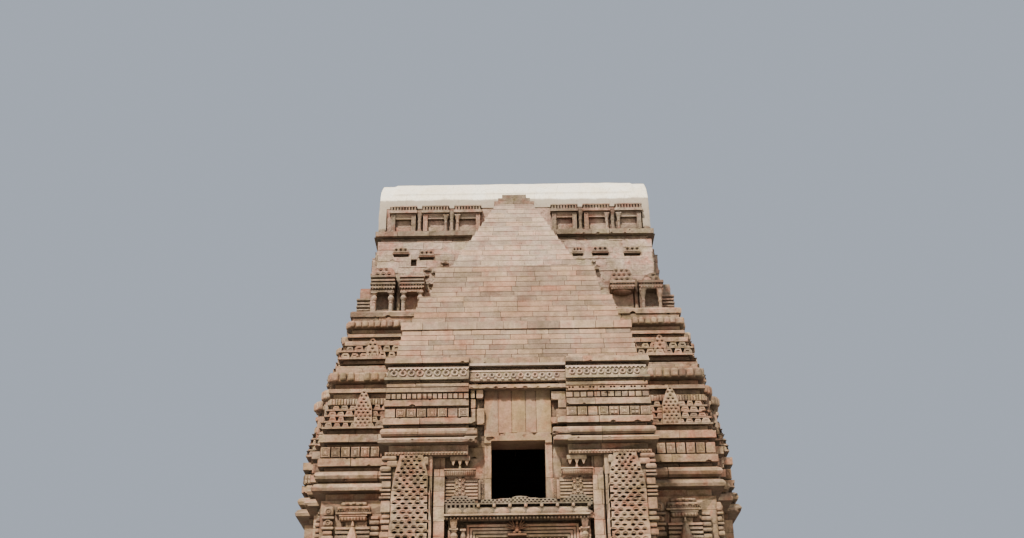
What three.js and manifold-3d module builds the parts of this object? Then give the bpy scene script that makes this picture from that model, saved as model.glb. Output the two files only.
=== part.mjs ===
// A stone temple: a rectangular shrine under a tall tower with a barrel-vaulted crown, and an
// entrance block in front of it. Millimetres, +Z up. The origin is on the ground under the
// crown's axis, and the door faces -Y.
import * as THREE from 'three';
import { mergeVertices } from 'three/addons/utils/BufferGeometryUtils.js';
import Module from 'manifold-3d';

const wasm = await Module();
wasm.setup();

// Driving dimensions: plan of the shrine at the foot of its walls.
const CORNER_X = 5720; // half width over the plain corner bays
const CORNER_Y = 4550; // half depth over the plain corner bays
const OFFSET_X = 6160; // half width over the first side projection
const OFFSET_SPAN = 3000; // its half length along the side
const BAY_X = 6620; // half width over the middle side bay
const BAY_SPAN = 1900; // its half length along the side
const BACK_OFFSET_Y = 5080; // the same two projections on the back
const BACK_OFFSET_SPAN = 3700;
const BACK_BAY_Y = 5600;
const BACK_BAY_SPAN = 2400;
const PORTICO_X = 3500; // half width of the entrance block
const PORTICO_Y = 8080; // its front face is this far before the origin

// Driving dimensions: rooms and openings.
const ROOM_X = 3400; // half width of the shrine room
const ROOM_Y = 2500; // half depth of the shrine room
const PASSAGE_X = 1000; // half width of the passage behind the door
const DOOR_X = 850; // half width of the doorway
const DOOR_TOP = 8150;
const WINDOW_X = 725; // half width of the square window over the door
const WINDOW_BASE = 10486;
const WINDOW_TOP = 12030;
const DOOR_BAY_X = 1940; // half width of the recessed bay with door and window
const DOOR_BAY_DEPTH = 260; // how far it lies behind the entrance block's face

// Driving heights.
const PLATFORM_TOP = 1600;
const FLOOR = 3900;
const WALL_TOP = 11480;
const PORTICO_WALL_TOP = 11640;
const CENTRE_TOP = 13770; // underside of the carved frieze over the entrance block
const FRIEZE_TOP = 14147;
const PORTICO_TOP = 14413;
const TERRACE = 17942; // top of the slab that carries the small pavilions
const STOREY_TOP = 21073;
const VAULT_BASE = 21553;
const VAULT_CENTRE = 21890;
const VAULT_RADIUS = 2450;
const VAULT_WALL = 900;
const VAULT_HALF_LENGTH = 4330;
const CROWN = 24400; // highest point of the plastered ridge
const GABLE_X = 4690; // outer face of the arched rim at each end of the crown

// Above the wall head the tower's faces curve in, from the plan at its foot to this one.
const TAPER_START = 13400;
const TOP_CORNER_X = 5080;
const TOP_CORNER_Y = 3480;
const TOP_BAY_X = 5620;
const TOP_BACK_BAY_Y = 4350;

// Driving dimensions of the storey above the terrace and of its pavilions.
const STOREY_CORNER_X = 4640;
const STOREY_CORNER_Y = 2680;
const STOREY_BAY_X = 4960;
const STOREY_BACK_BAY_Y = 2980;
const PAVILION_PITCH = 980;
const PAVILION_WIDTH = 800;
const PAVILION_DEPTH = 480;

const GAP = 0.3; // clearance where one mesh is cut to fit another

const stone = { roughness: 0.92, metalness: 0 };
const MATERIALS = {
  sandstone: new THREE.MeshStandardMaterial({ ...stone, color: 0xa8876c }),
  greyStone: new THREE.MeshStandardMaterial({ ...stone, color: 0x8f7c68 }),
  newAshlar: new THREE.MeshStandardMaterial({ ...stone, color: 0xb89478 }),
  limePlaster: new THREE.MeshStandardMaterial({ ...stone, color: 0xd9cdb4 }),
};

const temple = new THREE.Group();
temple.name = 'temple';

function addPiece(name, solid, material) {
  const mesh = new THREE.Mesh(geometryOf(solid), MATERIALS[material]);
  mesh.name = name;
  temple.add(mesh);
  return solid;
}

function addPair(name, leftSolid, material) {
  addPiece(`left_${name}`, leftSolid, material);
  addPiece(`right_${name}`, mirrored(leftSolid), material);
}

// A closed three.js geometry becomes a solid that can be joined and cut.
function solidOf(geometry) {
  const bare = geometry.clone();
  bare.deleteAttribute('normal');
  bare.deleteAttribute('uv');
  const merged = mergeVertices(bare, 1e-3);
  return new wasm.Manifold(new wasm.Mesh({
    numProp: 3,
    vertProperties: merged.attributes.position.array,
    triVerts: new Uint32Array(merged.index.array),
  }));
}

function geometryOf(solid) {
  const mesh = solid.getMesh();
  const geometry = new THREE.BufferGeometry();
  geometry.setAttribute('position', new THREE.BufferAttribute(mesh.vertProperties, 3));
  geometry.setIndex(new THREE.BufferAttribute(mesh.triVerts, 1));
  geometry.computeVertexNormals();
  return geometry;
}

const joined = (solids) => solids.reduce((whole, solid) => whole.add(solid));
const cut = (solid, tools) => tools.reduce((rest, tool) => rest.subtract(tool), solid);
const mirrored = (solid) => solid.mirror([1, 0, 0]);

// A box between two x, two y and two z values.
function block(x0, x1, y0, y1, z0, z1) {
  const box = new THREE.BoxGeometry(x1 - x0, y1 - y0, z1 - z0);
  box.translate((x0 + x1) / 2, (y0 + y1) / 2, (z0 + z1) / 2);
  return solidOf(box);
}

// Moves each corner of a square-cornered outline outwards by the same distance.
function grown(outline, distance) {
  const count = outline.length;
  return outline.map(([x, y], i) => {
    const [ax, ay] = outline[(i + count - 1) % count];
    const [bx, by] = outline[(i + 1) % count];
    const nx = Math.sign(y - ay) + Math.sign(by - y);
    const ny = Math.sign(ax - x) + Math.sign(x - bx);
    return [x + nx * distance, y + ny * distance];
  });
}

// A course of masonry: the outline swept up a moulding profile of [height, projection] points,
// with an optional square well of half sizes [x, y] down its middle.
function course(outline, profile, well) {
  const rings = profile.map(([z, out]) => grown(outline, out).map(([x, y]) => [x, y, z]));
  const count = outline.length;
  const position = rings.flat(2);
  const index = [];
  for (let level = 0; level + 1 < rings.length; level += 1) {
    for (let i = 0; i < count; i += 1) {
      const a = level * count + i;
      const b = level * count + (i + 1) % count;
      index.push(a, b, b + count, a, b + count, a + count);
    }
  }
  const hole = well
    ? [[-well[0], -well[1]], [well[0], -well[1]], [well[0], well[1]], [-well[0], well[1]]]
    : [];
  const holeStart = [];
  for (const ring of [rings[0], rings[rings.length - 1]]) {
    holeStart.push(position.length / 3);
    hole.forEach(([x, y]) => position.push(x, y, ring[0][2]));
  }
  hole.forEach((_, i) => {
    const next = (i + 1) % hole.length;
    const [low, high] = holeStart;
    index.push(low + i, high + next, low + next, low + i, high + i, high + next);
  });
  const flat = (points) => points.map(([x, y]) => new THREE.Vector2(x, y));
  [0, rings.length - 1].forEach((level, side) => {
    const caps = THREE.ShapeUtils.triangulateShape(flat(rings[level]), well ? [flat(hole)] : []);
    const vertex = (i) => (i < count ? level * count + i : holeStart[side] + i - count);
    for (const [a, b, c] of caps) {
      index.push(...(side === 0 ? [a, c, b] : [a, b, c]).map(vertex));
    }
  });
  const geometry = new THREE.BufferGeometry();
  geometry.setAttribute('position', new THREE.Float32BufferAttribute(position, 3));
  geometry.setIndex(index);
  return solidOf(geometry);
}

// The same course a little larger all round, to cut a neighbour so that the two stay clear.
function clearanceOf(outline, profile) {
  const last = profile.length - 1;
  const larger = profile.map(([z, out], i) => [
    z + (i === 0 ? -GAP : 0) + (i === last ? GAP : 0),
    out + GAP,
  ]);
  return course(outline, larger);
}

// A prism from an outline of [y, z] points, extruded along x.
function prismAlongX(points, x0, x1) {
  const shape = new THREE.Shape(points.map(([y, z]) => new THREE.Vector2(y, z)));
  const geometry = new THREE.ExtrudeGeometry(shape, { depth: x1 - x0, bevelEnabled: false });
  geometry.rotateX(Math.PI / 2);
  geometry.rotateZ(Math.PI / 2);
  geometry.translate(x0, 0, 0);
  return solidOf(geometry);
}

// A prism from an outline of [x, z] points, extruded along y.
function prismAlongY(points, y0, y1) {
  const shape = new THREE.Shape(points.map(([x, z]) => new THREE.Vector2(x, z)));
  const geometry = new THREE.ExtrudeGeometry(shape, { depth: y1 - y0, bevelEnabled: false });
  geometry.rotateX(Math.PI / 2);
  geometry.translate(0, y1, 0);
  return solidOf(geometry);
}

// The shrine's outline, counterclockwise, with both projections on each side and on the back.
function shrineOutline(size) {
  const right = [
    [size.cornerX, -size.cornerY],
    [size.cornerX, -size.offsetSpan],
    [size.offsetX, -size.offsetSpan],
    [size.offsetX, -size.baySpan],
    [size.bayX, -size.baySpan],
    [size.bayX, size.baySpan],
    [size.offsetX, size.baySpan],
    [size.offsetX, size.offsetSpan],
    [size.cornerX, size.offsetSpan],
    [size.cornerX, size.cornerY],
    [size.backOffsetSpan, size.cornerY],
    [size.backOffsetSpan, size.backOffsetY],
    [size.backBaySpan, size.backOffsetY],
    [size.backBaySpan, size.backBayY],
  ];
  const left = right.map(([x, y]) => [-x, y]).reverse();
  return [...right, ...left];
}

// The tower's outline at a height. Its faces curve in, so each course is set by its own height.
function towerOutline(z) {
  const share = Math.min(1, Math.max(0, (z - TAPER_START) / (TERRACE - TAPER_START)));
  const between = (from, to, power) => Math.round(from + (to - from) * share ** power);
  const bayX = between(BAY_X, TOP_BAY_X, 1.5);
  const cornerX = between(CORNER_X, TOP_CORNER_X, 1.8);
  const cornerY = between(CORNER_Y, TOP_CORNER_Y, 1.3);
  const backBayY = between(BACK_BAY_Y, TOP_BACK_BAY_Y, 1.4);
  return shrineOutline({
    cornerX,
    cornerY,
    offsetX: Math.round((cornerX + bayX) / 2),
    offsetSpan: between(OFFSET_SPAN, 2300, 1.3),
    bayX,
    baySpan: between(BAY_SPAN, 1500, 1.3),
    backOffsetY: Math.round((cornerY + backBayY) / 2),
    backOffsetSpan: between(BACK_OFFSET_SPAN, 3300, 1.8),
    backBayY,
    backBaySpan: between(BACK_BAY_SPAN, 2100, 1.8),
  });
}

const SHRINE = towerOutline(0);

// The outline of shrine and entrance block together, for the courses of the plinth.
const FOOTPRINT = [
  ...SHRINE,
  [-PORTICO_X, -CORNER_Y],
  [-PORTICO_X, -PORTICO_Y],
  [PORTICO_X, -PORTICO_Y],
  [PORTICO_X, -CORNER_Y],
];

// Profiles of the tower's courses, with the half sizes of the well inside each.

const TOWER = [
  ['tower_eave', [3300, 2400], [
    [WALL_TOP, -100], [11710, -100], [11710, 260], [11800, 280], [11910, 210], [11985, 60],
    [12016, 60],
  ]],
  ['tower_roll', [3200, 2300], [
    [12016, 120], [12080, 200], [12170, 235], [12260, 200], [12322, 110], [12322, -20],
    [12475, -20], [12475, 150], [12709, 150],
  ]],
  ['tower_block_course', [3100, 2200], [
    [12709, -50], [12760, -50], [12760, 90], [13076, 90], [13076, -50], [13209, -50],
    [13209, 150], [13444, 150],
  ]],
  ['tower_lattice_course', [3000, 2050], [
    [13444, -20], [13658, -20], [13658, 130], [13857, 130], [13857, 90], [14056, 90],
    [14056, 50], [14254, 50], [14254, 10], [14453, 10],
  ]],
  ['lower_ribbed_course', [2900, 1850], [
    [14453, 60], [14510, 150], [14580, 175], [14650, 150], [14708, 60], [14708, -20],
    [14892, -20], [14892, 110], [15014, 110], [15014, -60], [15218, -60], [15218, 60],
    [15290, 150], [15390, 185], [15490, 150], [15565, 60], [15565, -40], [15749, -40],
  ]],
  ['upper_lattice_course', [2800, 1650], [
    [15749, 130], [15943, 130], [15943, -40], [16116, -40], [16116, 110], [16355, 110],
    [16355, 60], [16595, 60], [16595, -50], [16779, -50],
  ]],
  ['upper_ribbed_course', [2750, 1500], [
    [16779, 120], [16905, 120], [16905, -30], [16980, -30], [16980, 90], [17085, 90],
    [17085, -30], [17279, -30], [17279, 50], [17340, 120], [17417, 150], [17494, 120],
    [17554, 50], [17554, -30], [17728, -30],
  ]],
  ['terrace_slab', [2700, 1400], [[17728, 190], [17880, 190], [TERRACE, 130]]],
];
const storeyOutline = shrineOutline({
  cornerX: STOREY_CORNER_X,
  cornerY: STOREY_CORNER_Y,
  offsetX: Math.round((STOREY_CORNER_X + STOREY_BAY_X) / 2),
  offsetSpan: 1950,
  bayX: STOREY_BAY_X,
  baySpan: 1500,
  backOffsetY: Math.round((STOREY_CORNER_Y + STOREY_BACK_BAY_Y) / 2),
  backOffsetSpan: 2900,
  backBayY: STOREY_BACK_BAY_Y,
  backBaySpan: 1950,
});
const STOREY_WALL = [[TERRACE, 0], [STOREY_TOP, 0]];
const crownOutline = [[-4540, -2480], [4540, -2480], [4540, 2480], [-4540, 2480]];
const CROWN_CORNICE = [
  [STOREY_TOP, 180], [21140, 240], [21185, 150], [21185, 60], [VAULT_BASE, 60],
];
const middle = (profile) => (profile[0][0] + profile[profile.length - 1][0]) / 2;
const towerClearances = [
  ...TOWER.map(([, , profile]) => clearanceOf(towerOutline(middle(profile)), profile)),
  clearanceOf(storeyOutline, STOREY_WALL),
  clearanceOf(crownOutline, CROWN_CORNICE),
];

// Platform, plinth and steps.

const PLATFORM_HALF = 9150;
const PLATFORM_MIDDLE_Y = -2300;
const PLATFORM_FRONT = PLATFORM_MIDDLE_Y - PLATFORM_HALF;
const platformOutline = [
  [-PLATFORM_HALF, PLATFORM_FRONT],
  [PLATFORM_HALF, PLATFORM_FRONT],
  [PLATFORM_HALF, PLATFORM_MIDDLE_Y + PLATFORM_HALF],
  [-PLATFORM_HALF, PLATFORM_MIDDLE_Y + PLATFORM_HALF],
];
addPiece('platform', course(platformOutline, [
  [0, 0], [300, 0], [300, -120], [1250, -120], [1300, -40], [PLATFORM_TOP, -40],
]), 'greyStone');

const PLINTH = [
  ['plinth_footing', [
    [PLATFORM_TOP, 1050], [1960, 1050], [2010, 960], [2110, 960], [2110, 820], [2480, 820],
    [2580, 780], [2660, 690], [2710, 560],
  ]],
  ['plinth_roll', [
    [2710, 400], [2790, 400], [2830, 560], [2910, 650], [2990, 650], [3070, 560], [3110, 400],
    [3190, 400],
  ]],
  ['plinth_top', [
    [3190, 700], [3300, 700], [3420, 620], [3520, 430], [3560, 220], [3740, 220], [3740, 300],
    [FLOOR, 300],
  ]],
];
for (const [name, profile] of PLINTH) addPiece(name, course(FOOTPRINT, profile), 'sandstone');

// A flight of steps that rises towards +y from its front edge.
function flight(halfWidth, front, count, rise, run, base) {
  const points = [[front, base]];
  for (let i = 0; i < count; i += 1) {
    points.push([front + i * run, base + (i + 1) * rise]);
    points.push([front + (i + 1) * run, base + (i + 1) * rise]);
  }
  points.push([front + count * run, base]);
  return prismAlongX(points, -halfWidth, halfWidth);
}

const LOWER_STEPS = 7; // the topmost tread is the platform itself
const LOWER_RUN = 300;
const LOWER_X = 2000;
addPiece('lower_steps', flight(
  LOWER_X, PLATFORM_FRONT - (LOWER_STEPS - 1) * LOWER_RUN - GAP, LOWER_STEPS - 1,
  PLATFORM_TOP / LOWER_STEPS, LOWER_RUN, 0,
), 'greyStone');

const UPPER_STEPS = 9;
const UPPER_RUN = 235;
const UPPER_X = 1500;
const UPPER_RISE = (FLOOR - PLATFORM_TOP) / UPPER_STEPS;
const PLINTH_FRONT = PORTICO_Y + 1050;
const upperFront = -PLINTH_FRONT - (UPPER_STEPS - 2) * UPPER_RUN;
const upperSteps = joined([
  flight(UPPER_X, upperFront, UPPER_STEPS, UPPER_RISE, UPPER_RUN, PLATFORM_TOP),
  block(-UPPER_X, UPPER_X, upperFront + (UPPER_STEPS - 1) * UPPER_RUN, -PORTICO_Y - 290,
    PLATFORM_TOP, FLOOR),
]);
addPiece('upper_steps', cut(
  upperSteps, PLINTH.map(([, profile]) => clearanceOf(FOOTPRINT, profile)),
), 'greyStone');

// Wall niches: two posts under an awning and a tall stepped pediment. The wall's face is y = 0,
// the niche faces -y, and its middle is x = 0.
function wallNiche(width, depth, pedimentBase, pedimentTop) {
  const half = width / 2;
  const post = width * 0.18;
  const steps = 5;
  const rise = (pedimentTop - pedimentBase - 220) / steps;
  const tiers = Array.from({ length: steps }, (_, i) => {
    const reach = half * (1 - 0.55 * (i / steps) ** 1.4);
    const low = pedimentBase + 220 + i * rise;
    return block(-reach, reach, -depth * (0.9 - 0.1 * i), 20, low - 1, low + rise);
  });
  return joined([
    block(-half - 30, half + 30, -depth - 40, 20, FLOOR + 300, FLOOR + 700),
    block(-half, half, -depth, 20, FLOOR + 699, FLOOR + 950),
    block(-half, -half + post, -depth, 20, FLOOR + 949, pedimentBase - 260),
    block(half - post, half, -depth, 20, FLOOR + 949, pedimentBase - 260),
    block(-half, half, -depth, 20, pedimentBase - 261, pedimentBase),
    block(-half - 40, half + 40, -depth - 60, 20, pedimentBase - 1, pedimentBase + 220),
    ...tiers,
  ]);
}
const facing = (solid, turn, x, y) => solid.rotate([0, 0, turn]).translate([x, y, 0]);
const NICHE_TOP = 11200;
const CORNER_NICHE_BASE = 8300;
const cornerNiche = wallNiche(1050, 160, CORNER_NICHE_BASE, NICHE_TOP);
const bayNiche = wallNiche(2300, 200, 7600, NICHE_TOP);

// Walls of the shrine and of the entrance block.

const wallSlab = (outline, z0, z1) => course(outline, [[z0, 0], [z1, 0]]);

const leftWallOutline = [
  ...SHRINE.filter(([x, y]) => x < -BACK_OFFSET_SPAN && y <= CORNER_Y),
  [-ROOM_X, -CORNER_Y],
  [-ROOM_X, CORNER_Y],
];
const CORNER_NICHE_X = (CORNER_X + PORTICO_X) / 2 + 60;
const leftWall = joined([
  wallSlab(leftWallOutline, FLOOR, WALL_TOP),
  facing(cornerNiche, 0, -CORNER_NICHE_X, -CORNER_Y),
  facing(cornerNiche, -90, -CORNER_X, -(CORNER_Y + OFFSET_SPAN) / 2),
  facing(cornerNiche, -90, -CORNER_X, (CORNER_Y + OFFSET_SPAN) / 2),
  facing(bayNiche, -90, -BAY_X, 0),
  facing(cornerNiche, 180, -(CORNER_X + BACK_OFFSET_SPAN) / 2 - 30, CORNER_Y),
]);
addPair('wall', leftWall, 'sandstone');

const backWallOutline = [
  [-ROOM_X, ROOM_Y],
  [ROOM_X, ROOM_Y],
  [ROOM_X, CORNER_Y],
  [BACK_OFFSET_SPAN, CORNER_Y],
  ...SHRINE.filter(([, y]) => y > CORNER_Y),
  [-BACK_OFFSET_SPAN, CORNER_Y],
  [-ROOM_X, CORNER_Y],
];
addPiece('back_wall', joined([
  wallSlab(backWallOutline, FLOOR, WALL_TOP),
  facing(bayNiche, 180, 0, BACK_BAY_Y),
]), 'sandstone');
addPair('inner_front_wall', block(-ROOM_X, -PASSAGE_X, -CORNER_Y, -ROOM_Y, FLOOR, WALL_TOP),
  'sandstone');

const bayFront = -PORTICO_Y + DOOR_BAY_DEPTH;
const bayBack = -PORTICO_Y + 950;
const porticoWallOutline = [
  [-PORTICO_X, -PORTICO_Y],
  [-DOOR_BAY_X, -PORTICO_Y],
  [-DOOR_BAY_X, bayBack],
  [-PASSAGE_X, bayBack],
  [-PASSAGE_X, -CORNER_Y],
  [-PORTICO_X, -CORNER_Y],
];
const PEDIMENT_X = 2790; // middle of the tall pediment beside the door
const pedimentBack = -PORTICO_Y + 20;
const tallPediment = joined([
  prismAlongY([
    [-PEDIMENT_X - 560, 7700], [-PEDIMENT_X + 560, 7700], [-PEDIMENT_X + 560, 9700],
    [-PEDIMENT_X + 260, 11560], [-PEDIMENT_X - 260, 11560], [-PEDIMENT_X - 560, 9700],
  ], -PORTICO_Y - 110, pedimentBack),
  block(-PEDIMENT_X - 620, -PEDIMENT_X + 620, -PORTICO_Y - 190, pedimentBack, 7480, 7701),
  block(-PEDIMENT_X - 540, -PEDIMENT_X - 330, -PORTICO_Y - 150, pedimentBack, 4850, 7481),
  block(-PEDIMENT_X + 330, -PEDIMENT_X + 540, -PORTICO_Y - 150, pedimentBack, 4850, 7481),
  block(-PEDIMENT_X - 620, -PEDIMENT_X + 620, -PORTICO_Y - 190, pedimentBack, 4200, 4851),
]);
addPair('portico_wall', joined([
  wallSlab(porticoWallOutline, FLOOR, PORTICO_WALL_TOP),
  tallPediment,
]), 'sandstone');

// Door, window and the pieces between them.

addPiece('door_sill', block(-DOOR_BAY_X, DOOR_BAY_X, bayFront, bayBack, FLOOR, FLOOR + 180),
  'sandstone');
addPair('door_jamb', joined([
  block(-DOOR_BAY_X, -DOOR_X, bayFront + 140, bayBack, FLOOR + 180, DOOR_TOP),
  block(-DOOR_BAY_X, -DOOR_X - 560, bayFront - 60, bayFront + 150, FLOOR + 180, DOOR_TOP),
]), 'sandstone');
addPiece('door_lintel', joined([
  block(-DOOR_BAY_X, DOOR_BAY_X, bayFront + 80, bayBack, DOOR_TOP, 8900),
  block(-DOOR_BAY_X, DOOR_BAY_X, bayFront - 60, bayFront + 90, 8650, 8900),
]), 'sandstone');
const SHELF_BASE = 9935;
const SHELF_TOP = 10057;
addPiece('door_frieze', joined([
  block(-DOOR_BAY_X, DOOR_BAY_X, bayFront + 100, bayBack, 8900, SHELF_BASE),
  block(-1840, -1640, bayFront - 130, bayFront + 110, 8900, SHELF_BASE),
  block(1640, 1840, bayFront - 130, bayFront + 110, 8900, SHELF_BASE),
]), 'sandstone');
addPiece('door_awning', prismAlongX([
  [bayFront - 380, SHELF_BASE], [bayBack, SHELF_BASE], [bayBack, SHELF_TOP],
  [bayFront - 330, SHELF_TOP], [bayFront - 380, SHELF_TOP - 40],
], -DOOR_BAY_X, DOOR_BAY_X), 'sandstone');
addPiece('window_sill', joined([
  block(-DOOR_BAY_X, DOOR_BAY_X, bayFront - 60, bayBack, SHELF_TOP, WINDOW_BASE),
  block(-1780, 1780, bayFront - 240, bayFront, SHELF_TOP, 10200),
]), 'sandstone');
addPair('window_jamb', joined([
  block(-DOOR_BAY_X, -WINDOW_X, bayFront, bayBack, WINDOW_BASE, PORTICO_WALL_TOP),
  block(-900, -WINDOW_X, bayFront - 40, bayBack, WINDOW_BASE, WINDOW_TOP),
  block(-1820, -1000, bayFront - 120, bayFront + 10, WINDOW_BASE, 11000),
]), 'sandstone');
const LINTEL_TOP = 12330;
addPiece('window_lintel', block(-900, 900, bayFront - 90, bayBack, WINDOW_TOP, LINTEL_TOP),
  'newAshlar');

const SLAB_EDGES = [-900, -530, -160, 210, 500, 900];
const closingSlabs = SLAB_EDGES.slice(1).map((right, i) => {
  const face = bayFront - 60 + (i % 2) * 15;
  return block(SLAB_EDGES[i], right, face, bayFront + 300, LINTEL_TOP, CENTRE_TOP);
});
addPiece('closing_slabs', joined(closingSlabs), 'newAshlar');

// Mouldings over the entrance block, in two stacks either side of the closing slabs.

const PORTICO_PROFILE = [
  [PORTICO_WALL_TOP, -60], [11955, -60], [11955, 210], [12030, 230], [12095, 170], [12128, 60],
  [12158, 60], [12158, 110], [12210, 155], [12265, 170], [12320, 155], [12373, 110],
  [12373, -40], [12495, -40], [12495, 110], [12668, 110], [12668, -40], [12709, -40],
  [12709, 60], [12944, 60], [12944, -40], [13015, -40], [13015, 90], [13189, 90],
  [13189, -40], [13240, -40], [13240, 50], [13372, 50], [13372, -30], [13423, -30],
  [13423, 60], [13546, 60], [13546, 10], [13586, 10], [13586, 40], [13678, 40],
  [13678, -30], [CENTRE_TOP, -30],
];
const STACK_END = 1320; // the mouldings stop here, and plain blocks fill in to the slabs
const stackOutline = [
  [STACK_END - 600, -PORTICO_Y], [PORTICO_X, -PORTICO_Y], [PORTICO_X, 0], [STACK_END - 600, 0],
];
const stackBack = -CORNER_Y + 700;
const rightStack = joined([
  course(stackOutline, PORTICO_PROFILE).intersect(
    block(STACK_END, 4200, -9000, stackBack, PORTICO_WALL_TOP, CENTRE_TOP)),
  block(900, STACK_END + 10, bayFront + 20, stackBack, PORTICO_WALL_TOP, CENTRE_TOP),
  block(1080, STACK_END + 10, bayFront - 130, bayFront + 30, 12500, CENTRE_TOP),
]);
addPair('portico_mouldings', mirrored(cut(rightStack, towerClearances)), 'sandstone');

const headOutline = [
  [-PORTICO_X, -PORTICO_Y], [PORTICO_X, -PORTICO_Y], [PORTICO_X, stackBack],
  [-PORTICO_X, stackBack],
];
// The middle of the head is set back behind the two sides.
const centreBreak = (z0, z1) => block(-STACK_END, STACK_END, -9000, -PORTICO_Y + 70, z0, z1);
addPiece('portico_frieze', cut(course(headOutline, [
  [CENTRE_TOP, 110], [13841, 110], [13841, 30], [FRIEZE_TOP, 30],
]), [centreBreak(13700, 14200), ...towerClearances]), 'sandstone');
addPiece('portico_cornice', cut(course(headOutline, [
  [FRIEZE_TOP, -60], [14249, -60], [14249, 120], [PORTICO_TOP, 90],
]), towerClearances), 'sandstone');

// Courses of the tower, each a ring round the open shaft.

for (const [name, well, profile] of TOWER) {
  addPiece(name, course(towerOutline(middle(profile)), profile, well), 'sandstone');
}

// A pavilion in front of a wall at y = 0 that faces -y: base, two posts, beams and stepped roof.
function pavilion(middleX, width, depth, z) {
  const half = width / 2;
  const post = 130;
  const layers = [
    [0, 336, 30, 40], [930, 1080, 40, 60], [1080, 1200, 0, 0], [1200, 1330, 50, 70],
    [1330, 1430, 0, 0], [1430, 1540, 40, 60], [1540, 1790, -40, -40], [1790, 2010, -170, -120],
  ];
  return joined([
    ...layers.map(([low, high, side, front]) => block(
      middleX - half - side, middleX + half + side, -depth - front, 10, z + low, z + high + 1)),
    block(middleX - half, middleX - half + post, -depth, 10, z + 335, z + 931),
    block(middleX + half - post, middleX + half, -depth, 10, z + 335, z + 931),
  ]);
}
const onFront = (place) => pavilion(place * PAVILION_PITCH, PAVILION_WIDTH, PAVILION_DEPTH, TERRACE)
  .translate([0, -STOREY_CORNER_Y, 0]);
const onBack = (place, y) => facing(
  pavilion(place * PAVILION_PITCH, PAVILION_WIDTH, PAVILION_DEPTH, TERRACE), 180, 0, y);
const onSide = (place, side) => facing(
  pavilion(place * PAVILION_PITCH, PAVILION_WIDTH, PAVILION_DEPTH - 120, TERRACE),
  side * 90, side * STOREY_BAY_X, 0);
const VISIBLE_PLACES = [-4.44, -3.44, -2.44, 2.44, 3.44, 4.44];
const pavilions = [
  ...VISIBLE_PLACES.map(onFront),
  ...[-4.44, -3.44, 3.44, 4.44].map((place) => onBack(place, STOREY_CORNER_Y)),
  ...[-1.5, -0.5, 0.5, 1.5].map((place) => onBack(place, STOREY_BACK_BAY_Y)),
  ...[-1, 0, 1].flatMap((place) => [onSide(place, -1), onSide(place, 1)]),
];
addPiece('pavilion_storey', joined([
  course(storeyOutline, STOREY_WALL, [2700, 1350]), ...pavilions,
]), 'sandstone');
addPiece('crown_cornice', course(crownOutline, CROWN_CORNICE, [3300, 1350]), 'greyStone');

// Barrel-vaulted crown.

const VAULT_STEPS = 20;
function archPoints(radius, start = 0, end = Math.PI) {
  const curve = new THREE.EllipseCurve(0, VAULT_CENTRE, radius, radius, start, end);
  return curve.getPoints(VAULT_STEPS).map((point) => [point.x, point.y]);
}
const archOutline = (radius) => [
  [radius, VAULT_BASE], ...archPoints(radius), [-radius, VAULT_BASE],
];
const barrel = (outer, inner, x0, x1) => prismAlongX(
  [...archOutline(outer), ...archOutline(inner).reverse()], x0, x1);

const NICHE_PITCH = 1045;
function crownNiche(middleX) {
  const half = 440;
  const post = 130;
  const face = VAULT_RADIUS + 100;
  return joined([
    block(middleX - half, middleX - half + post, -face, -2200, VAULT_BASE, 22176),
    block(middleX + half - post, middleX + half, -face, -2200, VAULT_BASE, 22176),
    block(middleX - half - 20, middleX + half + 20, -face - 30, -2000, 22175, 22257),
    block(middleX - half - 40, middleX + half + 40, -face - 80, -2000, 22256, 22420),
  ]);
}
const nichePlaces = (count) => Array.from(
  { length: count }, (_, i) => (i - (count - 1) / 2) * NICHE_PITCH);
const FACING_TOP_X = 1000; // the stepped facing hides the front niches nearer than this
const frontNiches = nichePlaces(8).filter((x) => Math.abs(x) > FACING_TOP_X).map(crownNiche);
const backNiches = nichePlaces(8).map((x) => facing(crownNiche(x), 180, 0, 0));
addPiece('vault', joined([
  barrel(VAULT_RADIUS, VAULT_RADIUS - VAULT_WALL, -VAULT_HALF_LENGTH, VAULT_HALF_LENGTH),
  ...frontNiches,
  ...backNiches,
]), 'limePlaster');
const vaultClearance = prismAlongX(
  archOutline(VAULT_RADIUS + GAP), -VAULT_HALF_LENGTH - 400, VAULT_HALF_LENGTH + 400);

// A thicker coat of lime plaster runs along the ridge.
const COAT = CROWN - VAULT_CENTRE - VAULT_RADIUS;
const RIDGE_HALF_LENGTH = 4250;
addPiece('ridge_plaster', prismAlongX([
  ...archPoints(VAULT_RADIUS + COAT, Math.PI * 0.2, Math.PI * 0.8),
  ...archPoints(VAULT_RADIUS - 100, Math.PI * 0.2, Math.PI * 0.8).reverse(),
], -RIDGE_HALF_LENGTH, RIDGE_HALF_LENGTH).subtract(vaultClearance), 'limePlaster');

// Each end of the vault is closed by a wall set back inside an arched rim.
addPair('gable_arch', barrel(VAULT_RADIUS, VAULT_RADIUS - 480, -GABLE_X, -VAULT_HALF_LENGTH),
  'limePlaster');
addPair('gable_wall', prismAlongX(
  archOutline(VAULT_RADIUS - VAULT_WALL - 1), -VAULT_HALF_LENGTH, -VAULT_HALF_LENGTH + 600,
), 'sandstone');

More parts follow.
